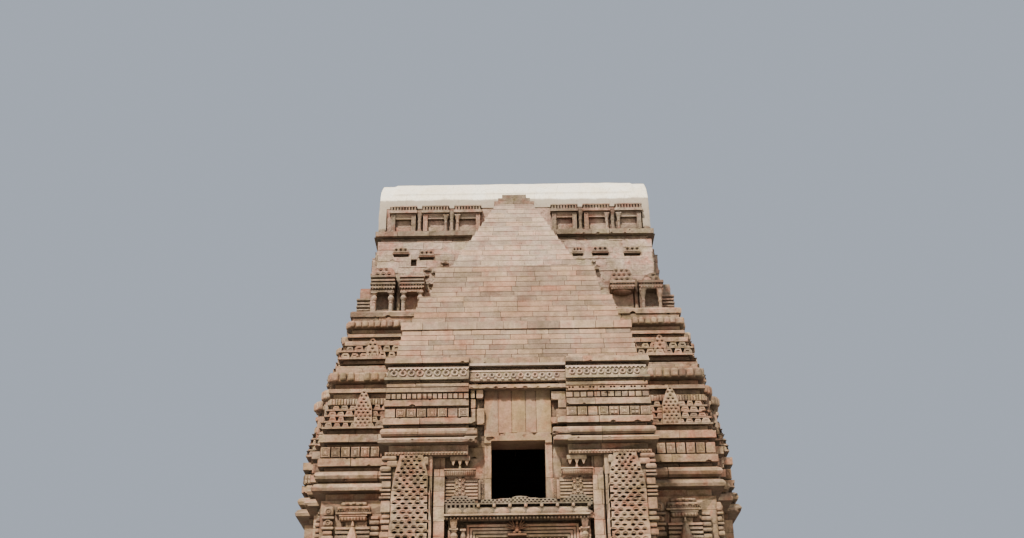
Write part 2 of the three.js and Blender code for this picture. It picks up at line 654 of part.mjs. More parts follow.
// Plain stepped facing built against the front of the tower. Its courses step in and back from
// the lowest one to the topmost.
function steppedFacing(low, high, count, halves, fronts, back) {
  const along = ([from, to], share) => Math.round(from + (to - from) * share);
  return joined(Array.from({ length: count }, (_, i) => {
    const share = count > 1 ? i / (count - 1) : 0;
    const half = along(halves, share);
    return block(-half, half, along(fronts, share), back,
      along([low, high], i / count), along([low, high], (i + 1) / count));
  }));
}
const hiddenPavilions = [-1, 1].map((side) => onFront(side * 2.44)).map((solid) => {
  const { min, max } = solid.boundingBox();
  return block(min[0] - GAP, max[0] + GAP, min[1] - GAP, max[1] + GAP, min[2] - GAP, max[2] + GAP);
});
const facingCutters = [...towerClearances, ...hiddenPavilions, vaultClearance];
const FACING = [
  ['facing_base', PORTICO_TOP, 15360, 6, [3350, 3190], [-7960, -7870], -3400],
  ['facing_coping', 15360, 15606, 1, [3230, 3230], [-7900, -7900], -3400],
  ['facing_second_stage', 15606, 16750, 6, [3010, 2800], [-7430, -7180], -3400],
  ['facing_third_stage', 16750, 18120, 7, [2540, 2380], [-6740, -6360], -2500],
  ['facing_spire', 18120, 22250, 14, [2050, 700], [-5880, -2920], -2000],
  ['facing_cap', 22250, 22720, 2, [660, 430], [-2860, -2720], -2000],
];
for (const [name, ...sizes] of FACING) {
  addPiece(name, cut(steppedFacing(...sizes), facingCutters), 'newAshlar');
}

export default temple;
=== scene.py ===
import math
import random

import bpy
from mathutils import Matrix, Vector


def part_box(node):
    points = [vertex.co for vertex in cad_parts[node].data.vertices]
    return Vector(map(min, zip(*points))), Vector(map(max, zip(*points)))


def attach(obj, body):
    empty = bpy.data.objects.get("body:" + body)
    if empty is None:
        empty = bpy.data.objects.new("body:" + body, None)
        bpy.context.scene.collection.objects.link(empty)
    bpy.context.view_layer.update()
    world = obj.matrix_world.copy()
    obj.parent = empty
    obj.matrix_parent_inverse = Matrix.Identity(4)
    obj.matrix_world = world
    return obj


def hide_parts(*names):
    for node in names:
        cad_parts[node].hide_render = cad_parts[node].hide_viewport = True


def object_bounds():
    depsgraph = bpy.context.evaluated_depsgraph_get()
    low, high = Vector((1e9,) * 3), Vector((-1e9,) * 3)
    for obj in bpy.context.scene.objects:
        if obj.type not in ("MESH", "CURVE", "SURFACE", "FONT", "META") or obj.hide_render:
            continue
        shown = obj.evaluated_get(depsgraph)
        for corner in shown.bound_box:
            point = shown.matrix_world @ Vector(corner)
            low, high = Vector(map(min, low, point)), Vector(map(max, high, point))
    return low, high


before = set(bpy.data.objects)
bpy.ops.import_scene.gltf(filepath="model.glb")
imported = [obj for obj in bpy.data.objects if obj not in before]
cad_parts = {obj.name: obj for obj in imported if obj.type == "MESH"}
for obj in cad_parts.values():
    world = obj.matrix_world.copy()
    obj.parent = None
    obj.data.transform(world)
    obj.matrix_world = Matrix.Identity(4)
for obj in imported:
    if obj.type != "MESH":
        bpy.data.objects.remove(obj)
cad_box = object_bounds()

# Where the temple stands: flat pale ground under a high sun from the left, soft sky light all
# round, and a viewer 30 m before the door who looks up with the head tilted less than a degree.
EYE = (-0.102, -38.556, 1.683)
LOOK_UP = 26.9
HEAD_TILT = 0.75
LENS, SIGHT = 42.19, 2000
SUN_LEFT, SUN_HEIGHT, SUN_SPREAD = 24.0, 50.0, 4.0
SUN_DISTANCE, SUN_POWER = 60, 7.6
SKY_STRENGTH = 0.66
GROUND_HALF = 400.0


def linear(hex_colour):
    """An sRGB hex colour as the linear RGBA that a socket takes."""
    channels = [int(hex_colour[i:i + 2], 16) / 255 for i in (0, 2, 4)]
    return [c / 12.92 if c <= 0.04045 else ((c + 0.055) / 1.055) ** 2.4 for c in channels] + [1.0]


def add_node(tree, kind, inputs=(), stops=None, **settings):
    """Adds one node with its settings and colour stops, and sets or links its inputs."""
    node = tree.nodes.new(kind)
    for name, value in settings.items():
        setattr(node, name, value)
    for name, value in dict(inputs).items():
        if isinstance(value, bpy.types.NodeSocket):
            tree.links.new(value, node.inputs[name])
        else:
            node.inputs[name].default_value = value
    if stops:
        while len(node.color_ramp.elements) < len(stops):
            node.color_ramp.elements.new(1.0)
        for element, (place, colour) in zip(node.color_ramp.elements, stops):
            element.position = place
            element.color = linear(colour)
    return node


def take(*pieces):
    """Leaves only these pieces selected, with the first one active."""
    bpy.ops.object.select_all(action="DESELECT")
    for piece in pieces:
        piece.select_set(True)
    bpy.context.view_layer.objects.active = pieces[0]


bpy.ops.object.camera_add(location=EYE, rotation=(math.radians(90 + LOOK_UP), 0, 0))
camera = bpy.context.object
camera.data.lens = LENS
camera.data.clip_end = SIGHT
camera.rotation_euler.rotate_axis("Z", math.radians(-HEAD_TILT))
bpy.context.scene.camera = camera

left, height = math.radians(SUN_LEFT), math.radians(SUN_HEIGHT)
sunward = Vector((
    -math.sin(left) * math.cos(height), -math.cos(left) * math.cos(height), math.sin(height),
))
bpy.ops.object.light_add(type="SUN", location=sunward * SUN_DISTANCE)
sun = bpy.context.object
sun.rotation_euler = (-sunward).to_track_quat("-Z", "Y").to_euler()
sun.data.energy = SUN_POWER
sun.data.angle = math.radians(SUN_SPREAD)
sun.data.color = linear("fff4e6")[:3]
world = bpy.data.worlds.new("soft_sky")
world.use_nodes = True
bpy.context.scene.world = world
background = world.node_tree.nodes["Background"]
background.inputs["Color"].default_value = linear("d2dded")
background.inputs["Strength"].default_value = SKY_STRENGTH

bpy.ops.mesh.primitive_plane_add(size=GROUND_HALF * 2)
ground = bpy.context.object
ground.name = "ground"
ground_finish = bpy.data.materials.new("pale_ground")
ground_finish.use_nodes = True
ground_shader = ground_finish.node_tree.nodes["Principled BSDF"]
ground_shader.inputs["Base Color"].default_value = linear("cfcac2")
ground_shader.inputs["Roughness"].default_value = 0.95
ground.data.materials.append(ground_finish)


# The temple is of local sandstone, laid dry in courses. The shrine and its tower share one plan
# with projecting bays, and above the wall head the faces curve inwards.
TAPER_START, TERRACE = 13.4, 17.942
PORTICO_X, PORTICO_Y = 3.5, 8.08
STACK_END = 1.32
CORNER_X, CORNER_Y, BAY_X = 5.72, 4.55, 6.62
FLOOR, WALL_TOP = 3.9, 11.48


def shrine_outline(sizes):
    """The plan, counterclockwise, with both projections on each side and on the back."""
    corner_x, corner_y, offset_x, offset_span, bay_x, bay_span = sizes[:6]
    back_offset_y, back_offset_span, back_bay_y, back_bay_span = sizes[6:]
    right = [
        (corner_x, -corner_y), (corner_x, -offset_span), (offset_x, -offset_span),
        (offset_x, -bay_span), (bay_x, -bay_span), (bay_x, bay_span), (offset_x, bay_span),
        (offset_x, offset_span), (corner_x, offset_span), (corner_x, corner_y),
        (back_offset_span, corner_y), (back_offset_span, back_offset_y),
        (back_bay_span, back_offset_y), (back_bay_span, back_bay_y),
    ]
    return right + [(-x, y) for x, y in reversed(right)]


def tower_outline(z):
    """The plan at a height. Its sizes go from those of the walls to those of the terrace."""
    share = min(1.0, max(0.0, (z - TAPER_START) / (TERRACE - TAPER_START)))

    def between(low, high, power):
        return low + (high - low) * share ** power

    bay_x = between(BAY_X, 5.62, 1.5)
    corner_x = between(CORNER_X, 5.08, 1.8)
    corner_y = between(CORNER_Y, 3.48, 1.3)
    back_bay_y = between(5.6, 4.35, 1.4)
    return shrine_outline((
        corner_x, corner_y, (corner_x + bay_x) / 2, between(3.0, 2.3, 1.3),
        bay_x, between(1.9, 1.5, 1.3), (corner_y + back_bay_y) / 2, between(3.7, 3.3, 1.8),
        back_bay_y, between(2.4, 2.1, 1.8),
    ))


def grown(outline, distance):
    """A square-cornered outline with each corner moved outwards by the same distance."""
    moved = []
    for i, (x, y) in enumerate(outline):
        ax, ay = outline[i - 1]
        bx, by = outline[(i + 1) % len(outline)]
        side = (y > ay) - (y < ay) + (by > y) - (by < y)
        front = (ax > x) - (ax < x) + (x > bx) - (x < bx)
        moved.append((x + side * distance, y + front * distance))
    return moved


def runs_of(outline):
    """The straight runs of a closed outline, each as its two ends."""
    ends = [Vector(point) for point in outline]
    return list(zip(ends, ends[1:] + ends[:1]))


def hidden(spot, z):
    """True where the entrance block or the stepped facing covers the front of the tower."""
    half = 3.45 if z < 15.5 else 3.1 if z < 16.8 else 2.6
    return spot.y < 0 and abs(spot.x) < half


def line(x0, y0, x1, y1):
    """A run of wall in plan from one point to another."""
    return Vector((x0, y0)), Vector((x1, y1))


def heading(start, end):
    """The direction of a run, the direction out of its wall, and its turn in plan."""
    direction = (end - start).normalized()
    return direction, Vector((direction.y, -direction.x)), math.atan2(direction.y, direction.x)


def row(runs, z, pitch, trim=0.0, between=False, skip=None):
    """Places at an even pitch along runs of wall, each turned to face outwards.

    With between they are the joints of the same row, and not the middles of its units."""
    places = []
    for start, end in runs:
        length = (end - start).length - 2 * trim
        if length < pitch * 0.8:
            continue
        count = max(1, round(length / pitch))
        step = length / count
        direction, _, turn = heading(start, end)
        for i in range(1 if between else 0, count):
            spot = start + direction * (trim + (i if between else i + 0.5) * step)
            if not (skip and skip(spot, z)):
                stretch = 1.0 if between else step / pitch
                places.append((spot.x, spot.y, z, turn, (stretch, 1.0, 1.0)))
    return places


upright = (1.0, 1.0, 1.0)


def evenly(x, pitch, numbers, y, z):
    """Places in a row across the front, numbered from the one at x."""
    return [(x + pitch * k, y, z, 0.0, upright) for k in numbers]


copies = bpy.data.node_groups.new("copies_at_places", "GeometryNodeTree")
copies.interface.new_socket("Places", in_out="INPUT", socket_type="NodeSocketGeometry")
unit_socket = copies.interface.new_socket("Unit", in_out="INPUT", socket_type="NodeSocketObject")
copies.interface.new_socket("Copies", in_out="OUTPUT", socket_type="NodeSocketGeometry")
places_in = add_node(copies, "NodeGroupInput")
unit_info = add_node(copies, "GeometryNodeObjectInfo", {"Object": places_in.outputs["Unit"]})
turns = add_node(
    copies, "GeometryNodeInputNamedAttribute", {"Name": "turn"}, data_type="FLOAT_VECTOR")
stretches = add_node(
    copies, "GeometryNodeInputNamedAttribute", {"Name": "stretch"}, data_type="FLOAT_VECTOR")
set_out = add_node(copies, "GeometryNodeInstanceOnPoints", {
    "Points": places_in.outputs["Places"],
    "Instance": unit_info.outputs["Geometry"],
    "Rotation": turns.outputs["Attribute"],
    "Scale": stretches.outputs["Attribute"],
})
made_real = add_node(
    copies, "GeometryNodeRealizeInstances", {"Geometry": set_out.outputs["Instances"]})
add_node(copies, "NodeGroupOutput", {"Copies": made_real.outputs["Geometry"]})


def linked(name, mesh):
    """A new piece with this mesh."""
    piece = bpy.data.objects.new(name, mesh)
    bpy.context.scene.collection.objects.link(piece)
    return piece


def run_nodes(piece, group, socket, value):
    """Applies a node group to a piece, with one of its inputs set."""
    take(piece)
    modifier = piece.modifiers.new(group.name, "NODES")
    modifier.node_group = group
    modifier[socket.identifier] = value
    bpy.ops.object.modifier_apply(modifier=modifier.name)
    return piece


def repeat(name, unit, places):
    """One mesh with a copy of the unit at each (x, y, z, turn, stretch). The unit is used up."""
    mesh = bpy.data.meshes.new(name)
    mesh.from_pydata([place[:3] for place in places], [], [])
    vectors = {
        "turn": [(0.0, 0.0, place[3]) for place in places],
        "stretch": [place[4] for place in places],
    }
    for key, values in vectors.items():
        attribute = mesh.attributes.new(key, "FLOAT_VECTOR", "POINT")
        attribute.data.foreach_set("vector", [v for value in values for v in value])
    piece = run_nodes(linked(name, mesh), copies, unit_socket, unit)
    bpy.data.objects.remove(unit)
    for key in vectors:
        found = piece.data.attributes.get(key)
        if found:
            piece.data.attributes.remove(found)
    return piece


def in_place(piece):
    """Applies a piece's own place, turn and size to its mesh."""
    take(piece)
    bpy.ops.object.transform_apply(location=True, rotation=True, scale=True)
    return piece


def shaped(name, operator, **settings):
    """A new simple form under this name, made by one of the operators that add them."""
    operator(**settings)
    piece = bpy.context.object
    piece.name = name
    return in_place(piece)


def block(name, x0, x1, y0, y1, z0, z1):
    """A squared stone between two x, two y and two z values."""
    return shaped(
        name, bpy.ops.mesh.primitive_cube_add, size=1, scale=(x1 - x0, y1 - y0, z1 - z0),
        location=((x0 + x1) / 2, (y0 + y1) / 2, (z0 + z1) / 2))


def centred(name, width, *sizes):
    """A squared stone whose middle lies at x = 0."""
    return block(name, -width / 2, width / 2, *sizes)


def spans(side, near, far):
    """Two x values on one side of the middle, the smaller first."""
    return sorted((side * near, side * far))


def joined(name, pieces):
    """Several pieces as one mesh."""
    take(*pieces)
    if len(pieces) > 1:
        bpy.ops.object.join()
    piece = bpy.context.view_layer.objects.active
    piece.name = name
    return piece


def finish_with(piece, kind, **settings):
    """Adds one modifier with its settings and applies it."""
    take(piece)
    modifier = piece.modifiers.new(kind.lower(), kind)
    for name, value in settings.items():
        setattr(modifier, name, value)
    bpy.ops.object.modifier_apply(modifier=modifier.name)
    return piece


def soften(piece, width, segments):
    """Rounds the edges of a piece."""
    return finish_with(piece, "BEVEL", width=width, segments=segments, limit_method="ANGLE")


def carve(piece, cutter, operation="DIFFERENCE"):
    """Takes the cutter out of the piece, or adds it to it, and uses the cutter up."""
    finish_with(piece, "BOOLEAN", operation=operation, solver="MANIFOLD", object=cutter)
    bpy.data.objects.remove(cutter)
    return piece


def open_all(piece):
    """Opens a piece in edit mode with all of it selected."""
    take(piece)
    bpy.ops.object.mode_set(mode="EDIT")
    bpy.ops.mesh.select_all(action="SELECT")


def close(piece):
    """Leaves edit mode."""
    bpy.ops.object.mode_set(mode="OBJECT")
    return piece


def extrude(way):
    """Extrudes what is selected along a way."""
    bpy.ops.mesh.extrude_region_move(TRANSFORM_OT_translate={"value": way})


def copy_of(name, *nodes):
    """A copy of CAD nodes as one mesh, with its loose triangles merged."""
    pieces = [linked(name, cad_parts[node].data.copy()) for node in nodes]
    for piece in pieces:
        piece.data.materials.clear()
    piece = joined(name, pieces)
    open_all(piece)
    bpy.ops.mesh.remove_doubles(threshold=0.00005)
    return close(piece)


def swept(name, corners, way):
    """A solid made by moving a flat face with these corners along a way."""
    mesh = bpy.data.meshes.new(name)
    mesh.from_pydata(corners, [], [range(len(corners))])
    piece = linked(name, mesh)
    open_all(piece)
    extrude(way)
    bpy.ops.mesh.select_all(action="SELECT")
    bpy.ops.mesh.normals_make_consistent(inside=False)
    return close(piece)


def prism(name, outline, z0, z1):
    """A solid with this outline in plan."""
    return swept(name, [(x, y, z0) for x, y in outline], (0, 0, z1 - z0))


JOINT = 0.009
REACH_OUT, REACH_IN = 0.36, 0.62
CORNER_STONE = 0.66
UNIT = (-0.5, 0.5) * 3


def lay_in_stones(piece, runs, corners, low, high, beds, lengths, seed):
    """Cuts masonry along its bed joints, its mitred corners and its upright joints."""
    draw = random.Random(seed)
    if beds:
        carve(piece, joined("bed_joints", [
            block("bed_joint", -15, 15, -15, 15, z - JOINT / 2, z + JOINT / 2) for z in beds
        ]))
    levels = [low - 0.05, *beds, high + 0.05]
    through, inward = REACH_OUT + REACH_IN, (REACH_OUT - REACH_IN) / 2
    places = []
    for z0, z1 in zip(levels, levels[1:]):
        middle, tall = (z0 + z1) / 2, z1 - z0 - 0.002
        for start, end in runs:
            direction, outward, turn = heading(start, end)
            at = CORNER_STONE + draw.uniform(0, 0.3)
            while at < (end - start).length - CORNER_STONE:
                spot = start + direction * at + outward * inward
                width = JOINT * draw.uniform(0.6, 1.6)
                places.append((spot.x, spot.y, middle, turn, (width, through, tall)))
                at += draw.uniform(*lengths)
        for corner, diagonal in corners:
            spot = corner + diagonal * inward
            turn = math.atan2(diagonal.y, diagonal.x) - math.pi / 2
            places.append((
                spot.x, spot.y, middle, turn, (JOINT * 0.6, through * math.sqrt(2), tall)))
    return carve(piece, repeat("upright_joints", block("joint", *UNIT), places))


def corners_of(outline):
    """Each corner of an outline with the diagonal that leads outwards from it."""
    return [
        (Vector(at), Vector(out) - Vector(at)) for at, out in zip(outline, grown(outline, 1.0))
    ]


stone_settling = bpy.data.node_groups.new("stone_settling", "GeometryNodeTree")
stone_settling.interface.new_socket("Stones", in_out="INPUT", socket_type="NodeSocketGeometry")
reach_socket = stone_settling.interface.new_socket(
    "Reach", in_out="INPUT", socket_type="NodeSocketFloat")
stone_settling.interface.new_socket("Settled", in_out="OUTPUT", socket_type="NodeSocketGeometry")
stones_in = add_node(stone_settling, "NodeGroupInput")
island = add_node(stone_settling, "GeometryNodeInputMeshIsland")
shift = add_node(stone_settling, "FunctionNodeRandomValue", {
    0: (-1.0, -1.0, -0.15), 1: (1.0, 1.0, 0.15), "ID": island.outputs["Island Index"],
}, data_type="FLOAT_VECTOR")
scaled = add_node(stone_settling, "ShaderNodeVectorMath", {
    0: shift.outputs[0], "Scale": stones_in.outputs["Reach"],
}, operation="SCALE")
settled = add_node(stone_settling, "GeometryNodeSetPosition", {
    "Geometry": stones_in.outputs["Stones"], "Offset": scaled.outputs["Vector"],
})
add_node(stone_settling, "NodeGroupOutput", {"Settled": settled.outputs["Geometry"]})


def settle(piece, reach):
    """Moves each stone a little out of line, as centuries have."""
    return run_nodes(piece, stone_settling, reach_socket, reach)


def bead(width, depth, tall):
    """A rough little bead, faceted like a worn carving."""
    return shaped("bead", bpy.ops.mesh.primitive_ico_sphere_add, subdivisions=1, radius=0.5,
                  scale=(width, depth, tall))


def lumps(name, spots, seed):
    """Rough lumps at (x, y, z, size) spots, each turned its own way, to break edges off with."""
    turns = random.Random(seed)
    return repeat(name, bead(1.0, 1.0, 1.0), [
        (x, y, z, turns.uniform(0, 3.1), (
            size * turns.uniform(0.8, 1.8), size * turns.uniform(0.6, 1.1),
            size * turns.uniform(0.5, 0.9)))
        for x, y, z, size in spots])


def wear(piece, spacing, smallest, largest, seed):
    """Breaks small lumps out of the outer edges of a piece, spaced about evenly along them."""
    draw = random.Random(seed)
    mesh = piece.data
    beside = {}
    for face in mesh.polygons:
        for key in face.edge_keys:
            beside.setdefault(key, []).append(face)
    spots = {}
    seen = piece.ray_cast
    owed = draw.random() * spacing
    for key, faces in beside.items():
        if len(faces) != 2:
            continue
        one, other = faces
        start, end = (mesh.vertices[index].co for index in key)
        outer = (other.center - start).dot(one.normal) < -0.002
        if one.normal.dot(other.normal) > 0.6 or not outer:
            continue
        owed += (end - start).length
        while owed > spacing:
            owed -= spacing * draw.uniform(0.5, 1.5)
            spot = start.lerp(end, draw.random())
            cell = tuple(round(v / (largest * 2.5)) for v in spot)
            if cell in spots:
                continue
            if not any(seen(spot + side.normal * 0.003, side.normal, distance=0.08)[0]
                       for side in faces):
                size = smallest + (largest - smallest) * draw.random() ** 2.5
                spots[cell] = (*spot, size)
    return carve(piece, lumps("worn_edges", list(spots.values()), seed))


def noise(tree, place, scale, detail, roughness, **inputs):
    """The value of a noise texture, which has a fourth dimension where it is given a W."""
    inputs.update(Vector=place, Scale=scale, Detail=detail, Roughness=roughness)
    return add_node(tree, "ShaderNodeTexNoise", inputs,
                    noise_dimensions="4D" if "W" in inputs else "3D").outputs["Fac"]


def ramp(tree, value, stops):
    """The colour that a value has between the colours of a ramp."""
    return add_node(tree, "ShaderNodeValToRGB", {"Fac": value}, stops=stops).outputs["Color"]


def ranged(tree, value, low, high, at_low, at_high):
    """A value carried over from one range to another, and kept within it."""
    return add_node(tree, "ShaderNodeMapRange", {
        "Value": value, "From Min": low, "From Max": high, "To Min": at_low, "To Max": at_high,
    }).outputs["Result"]


def mixed(tree, share, under, over, blend="MIX"):
    """A share of one colour over another."""
    return add_node(tree, "ShaderNodeMix", {0: share, 6: under, 7: over}, data_type="RGBA",
                    blend_type=blend).outputs[2]


def larger(tree, one, other):
    """The larger of two values."""
    return add_node(
        tree, "ShaderNodeMath", {0: one, 1: other}, operation="MAXIMUM").outputs["Value"]


def parted(tree, vector):
    """The X, Y and Z outputs of a vector."""
    return add_node(tree, "ShaderNodeSeparateXYZ", {0: vector}).outputs


def new_finish(name, roughness, gloss):
    """A new material, its nodes, its shader and the object's own coordinates."""
    finish = bpy.data.materials.new(name)
    finish.use_nodes = True
    tree = finish.node_tree
    shader = tree.nodes["Principled BSDF"]
    shader.inputs["Roughness"].default_value = roughness
    shader.inputs["Specular IOR Level"].default_value = gloss
    return finish, tree, shader, add_node(tree, "ShaderNodeTexCoord").outputs["Object"]


GRAIN_SIZE = 0.03
PASSAGE_HALF, PASSAGE_MIDDLE = (1.4, 2.38, 4.95), (0.0, -4.75, 8.9)


def stone_finish(name, tones, stones, dirt, painted_shade, lichen=0.0, bump=1.0, patchy=1.0):
    """Weathered stone: tone patches, a tone for each stone, grain, runs of dirt, painted shade in
    recesses and under ledges.

    Inside the passage and the chamber over it everything is coloured near black."""
    finish, tree, shader, place = new_finish(name, 0.92, 0.25)
    surface = add_node(tree, "ShaderNodeNewGeometry").outputs
    tone = ramp(tree, noise(tree, place, 0.9, 5.0, 0.62), list(zip((0.36, 0.5, 0.64), tones)))
    each = ramp(tree, surface["Random Per Island"], stones)
    blush = ramp(tree, noise(tree, place, 2.3, 4.0, 0.6, W=3.0), [
        (0.36, "e6e3ce"), (0.46, "fefaee"), (0.54, "fff5ed"), (0.64, "f5d5ca")])
    grain = noise(tree, place, 1 / GRAIN_SIZE, 3.0, 0.7)
    weathering = noise(tree, place, 7.0, 6.0, 0.7)
    colour = mixed(tree, 1.0, tone, each, "MULTIPLY")
    colour = mixed(tree, patchy, colour, blush, "MULTIPLY")
    colour = mixed(tree, 1.0, colour, ranged(tree, grain, 0.25, 0.75, 0.8, 1.14), "MULTIPLY")
    blotches = ranged(
        tree, weathering, 0.34, 0.62, 1.0 - 0.26 * patchy, 1.0 + 0.08 * patchy)
    colour = mixed(tree, 1.0, colour, blotches, "MULTIPLY")
    drawn_down = add_node(tree, "ShaderNodeMapping", {"Vector": place, "Scale": (2.6, 2.6, 0.55)})
    runs = noise(tree, drawn_down.outputs["Vector"], 1.0, 6.0, 0.66)
    colour = mixed(tree, ranged(tree, runs, 0.47, 0.74, 0.0, dirt), colour, linear("51443b"))
    spots = noise(tree, place, 1.7, 7.0, 0.72, Distortion=0.4)
    colour = mixed(tree, ranged(tree, spots, 0.56, 0.68, 0.0, lichen), colour, linear("a28f5e"))
    # Painted shade: the colour goes towards near black in recesses that ambient occlusion finds,
    # and on faces that look down.
    open_share = add_node(tree, "ShaderNodeAmbientOcclusion", {"Distance": 0.35}, samples=6)
    closed = ranged(tree, open_share.outputs["AO"], 0.2, 0.78, painted_shade, 0.0)
    under = ranged(tree, parted(tree, surface["Normal"])["Z"], -0.9, -0.1, painted_shade * 0.85, 0.0)
    colour = mixed(tree, larger(tree, closed, under), colour, linear("2a221c"))
    # Everything inside the box of the passage and the chamber over it turns near black.
    from_middle = add_node(tree, "ShaderNodeMapping", {
        "Vector": place, "Scale": [1 / half for half in PASSAGE_HALF],
        "Location": [-at / half for at, half in zip(PASSAGE_MIDDLE, PASSAGE_HALF)]})
    halves = parted(tree, add_node(
        tree, "ShaderNodeVectorMath", {0: from_middle.outputs["Vector"]}, operation="ABSOLUTE",
    ).outputs["Vector"])
    widest = larger(tree, larger(tree, halves["X"], halves["Y"]), halves["Z"])
    colour = mixed(tree, ranged(tree, widest, 0.985, 1.0, 1.0, 0.0), colour, linear("120d0b"))
    tree.links.new(colour, shader.inputs["Base Color"])
    worn = add_node(tree, "ShaderNodeBump", {
        "Height": weathering, "Distance": 0.06 * bump, "Strength": 1.0})
    pitted = add_node(tree, "ShaderNodeBump", {
        "Height": grain, "Distance": 0.006 * bump, "Strength": 0.9,
        "Normal": worn.outputs["Normal"]})
    tree.links.new(pitted.outputs["Normal"], shader.inputs["Normal"])
    return finish


# Weathered sandstone, dressed by chisel: tan to pink and brown, each stone its own tone,
# with dark runs of rain dirt, and painted shade that blackens its recesses.
weathered_sandstone = stone_finish(
    "weathered_sandstone", ("9f8c79", "b4a08e", "c1b1a1"),
    [(0.0, "bfbdbb"), (0.2, "e0ddd8"), (0.4, "f6f1e4"), (0.6, "f7efe9"), (0.8, "f8e0d5"),
     (1.0, "fffdf6")], dirt=0.5, painted_shade=0.9, lichen=0.35)
# The same stone newly cut for the facing: pinkish tan, close in tone, with little dirt.
new_sandstone = stone_finish(
    "new_dressed_sandstone", ("b19e8d", "bdaa99", "c7b6a6"),
    [(0.0, "cac4be"), (0.3, "e8e2dc"), (0.6, "fbeee0"), (0.85, "fcdfd0"), (1.0, "fffdf4")],
    dirt=0.36, painted_shade=0.85, bump=0.6, patchy=0.7)

# The spire of the facing, also used for the frieze rings: pale stone, with lighter tones painted
# in for the stronger sun that the spire's leaning courses catch.
pale_sandstone_painted_light = stone_finish(
    "pale_dressed_sandstone_painted_light", ("cab9aa", "d6c7ba", "ddd1c5"),
    [(0.0, "cfc9c4"), (0.3, "ebe6e1"), (0.7, "fcf2e8"), (0.9, "fde4d7"), (1.0, "fffdf6")],
    dirt=0.32, painted_shade=0.85, bump=0.6, patchy=0.7)

# Sheltered carving under the cornice, yellowed by a thin film of lichen.
lichened_sandstone = stone_finish(
    "lichened_sandstone", ("9b8f7e", "b2a694", "c3b7a5"),
    [(0.0, "cfccc4"), (0.3, "eeeadf"), (0.7, "f8f3e6"), (1.0, "fffdf2")],
    dirt=0.5, painted_shade=0.9, lichen=0.45, patchy=0.7)

# Stone that was never cleaned: greyer, with more dirt and lichen.
grey_stone = stone_finish(
    "grey_weathered_sandstone", ("877c70", "9e9285", "b0a598"),
    [(0.0, "cfcac4"), (0.5, "ece6de"), (1.0, "fffaf2")], dirt=0.55, painted_shade=0.85, lichen=0.3)


def dress(piece, *nodes, finish=weathered_sandstone, slot="sandstone"):
    """Gives a finished piece its material and body, and hides the nodes that it stands for. Its
    slot is not used.
    """
    piece.data.materials.clear()
    piece.data.materials.append(finish)
    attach(piece, "root")
    if nodes:
        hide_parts(*nodes)
    return piece


# Tower: eight rings of moulded stone round the hollow shaft, from the great eave to the terrace.
# Each is laid as an outer shell of long moulded stones before an inner lining, and the terrace is
# paved from the shell to the shaft.
SHELL = 0.42
# name, low, high, half sizes of the well, least projection, bed joints
RINGS = [
    ("tower_eave", 11.480, 12.016, (3.3, 2.4), -0.10, (11.705,)),
    ("tower_roll", 12.016, 12.709, (3.2, 2.3), -0.02, (12.325, 12.472)),
    ("tower_block_course", 12.709, 13.444, (3.1, 2.2), -0.05, (12.757, 13.08, 13.205)),
    ("tower_lattice_course", 13.444, 14.453, (3.0, 2.05), -0.02, (13.655, 13.86, 14.059, 14.257)),
    ("lower_ribbed_course", 14.453, 15.749, (2.9, 1.85), -0.06,
     (14.711, 14.889, 15.018, 15.214, 15.569)),
    ("upper_lattice_course", 15.749, 16.779, (2.8, 1.65), -0.05, (15.946, 16.113, 16.358, 16.598)),
    ("upper_ribbed_course", 16.779, 17.728, (2.75, 1.5), -0.03, (16.908, 17.088, 17.276, 17.558)),
    ("terrace_slab", 17.728, 17.942, (2.7, 1.4), 0.13, ()),
]
tower_rings = {}
for number, (node, low, high, well, least, beds) in enumerate(RINGS):
    outline = tower_outline((low + high) / 2)
    ring = copy_of(node + "_stones", node)
    core = prism("core", grown(outline, least - SHELL), low - 0.1, high + 0.1)
    lining = block("lining", -well[0] - 0.25, well[0] + 0.25, -well[1] - 0.25, well[1] + 0.25,
                   low - 0.2, high + 0.2)
    if node == "terrace_slab":
        carve(lining, prism(
            "paving", grown(outline, least - SHELL - JOINT), low - 0.2, high + 0.2), "UNION")
    carve(ring, carve(core, lining))
    tower_rings[node] = (ring, outline, low, high, beds, number)


def select_faces(piece, test):
    """Opens the piece in edit mode with only the faces selected whose middle and normal pass."""
    open_all(piece)
    bpy.ops.mesh.select_mode(type="FACE")
    bpy.ops.mesh.select_all(action="DESELECT")
    close(piece)
    for face in piece.data.polygons:
        face.select = test(face.center, face.normal)
    bpy.ops.object.mode_set(mode="EDIT")


def in_front(middle, normal):
    """True for a face that looks forwards."""
    return normal.y < -0.9


def below(middle, normal):
    """True for a face that looks down."""
    return normal.z < -0.9


def narrowed(piece, test, size, fixed):
    """Shrinks the faces that pass the test towards a fixed point."""
    select_faces(piece, test)
    bpy.ops.transform.resize(value=size, center_override=fixed)
    return close(piece)


def cut_off(piece, point, normal):
    """Cuts away what lies beyond a plane, and closes the cut."""
    open_all(piece)
    bpy.ops.mesh.bisect(plane_co=point, plane_no=normal, clear_outer=True, use_fill=True)
    return close(piece)


def pushed(distance):
    """Extrudes the selected faces forwards, so that a negative distance sinks them."""
    extrude((0, -distance, 0))


# Rows of square blocks with carved faces run round the tower and across the entrance block. The
# mason cut each block out of the course by deep upright slots, then carved its face.
def slot_cutter(width, tall, depth):
    """The gap between two blocks of a row whose face lies at y = 0."""
    return centred("slot", width, -0.05, depth, -tall / 2, tall / 2)


def carved_face(width, tall):
    """A whorl in a sunk square: a framed panel with a raised ring and a boss."""
    face = centred("carved_face", width, -0.012, 0.02, -tall / 2, tall / 2)
    select_faces(face, in_front)
    for margin, rise in ((0.09, -0.03), (0.1, 0.038), (0.09, -0.036), (0.06, 0.03)):
        bpy.ops.mesh.inset(thickness=width * margin)
        pushed(rise)
    return close(face)


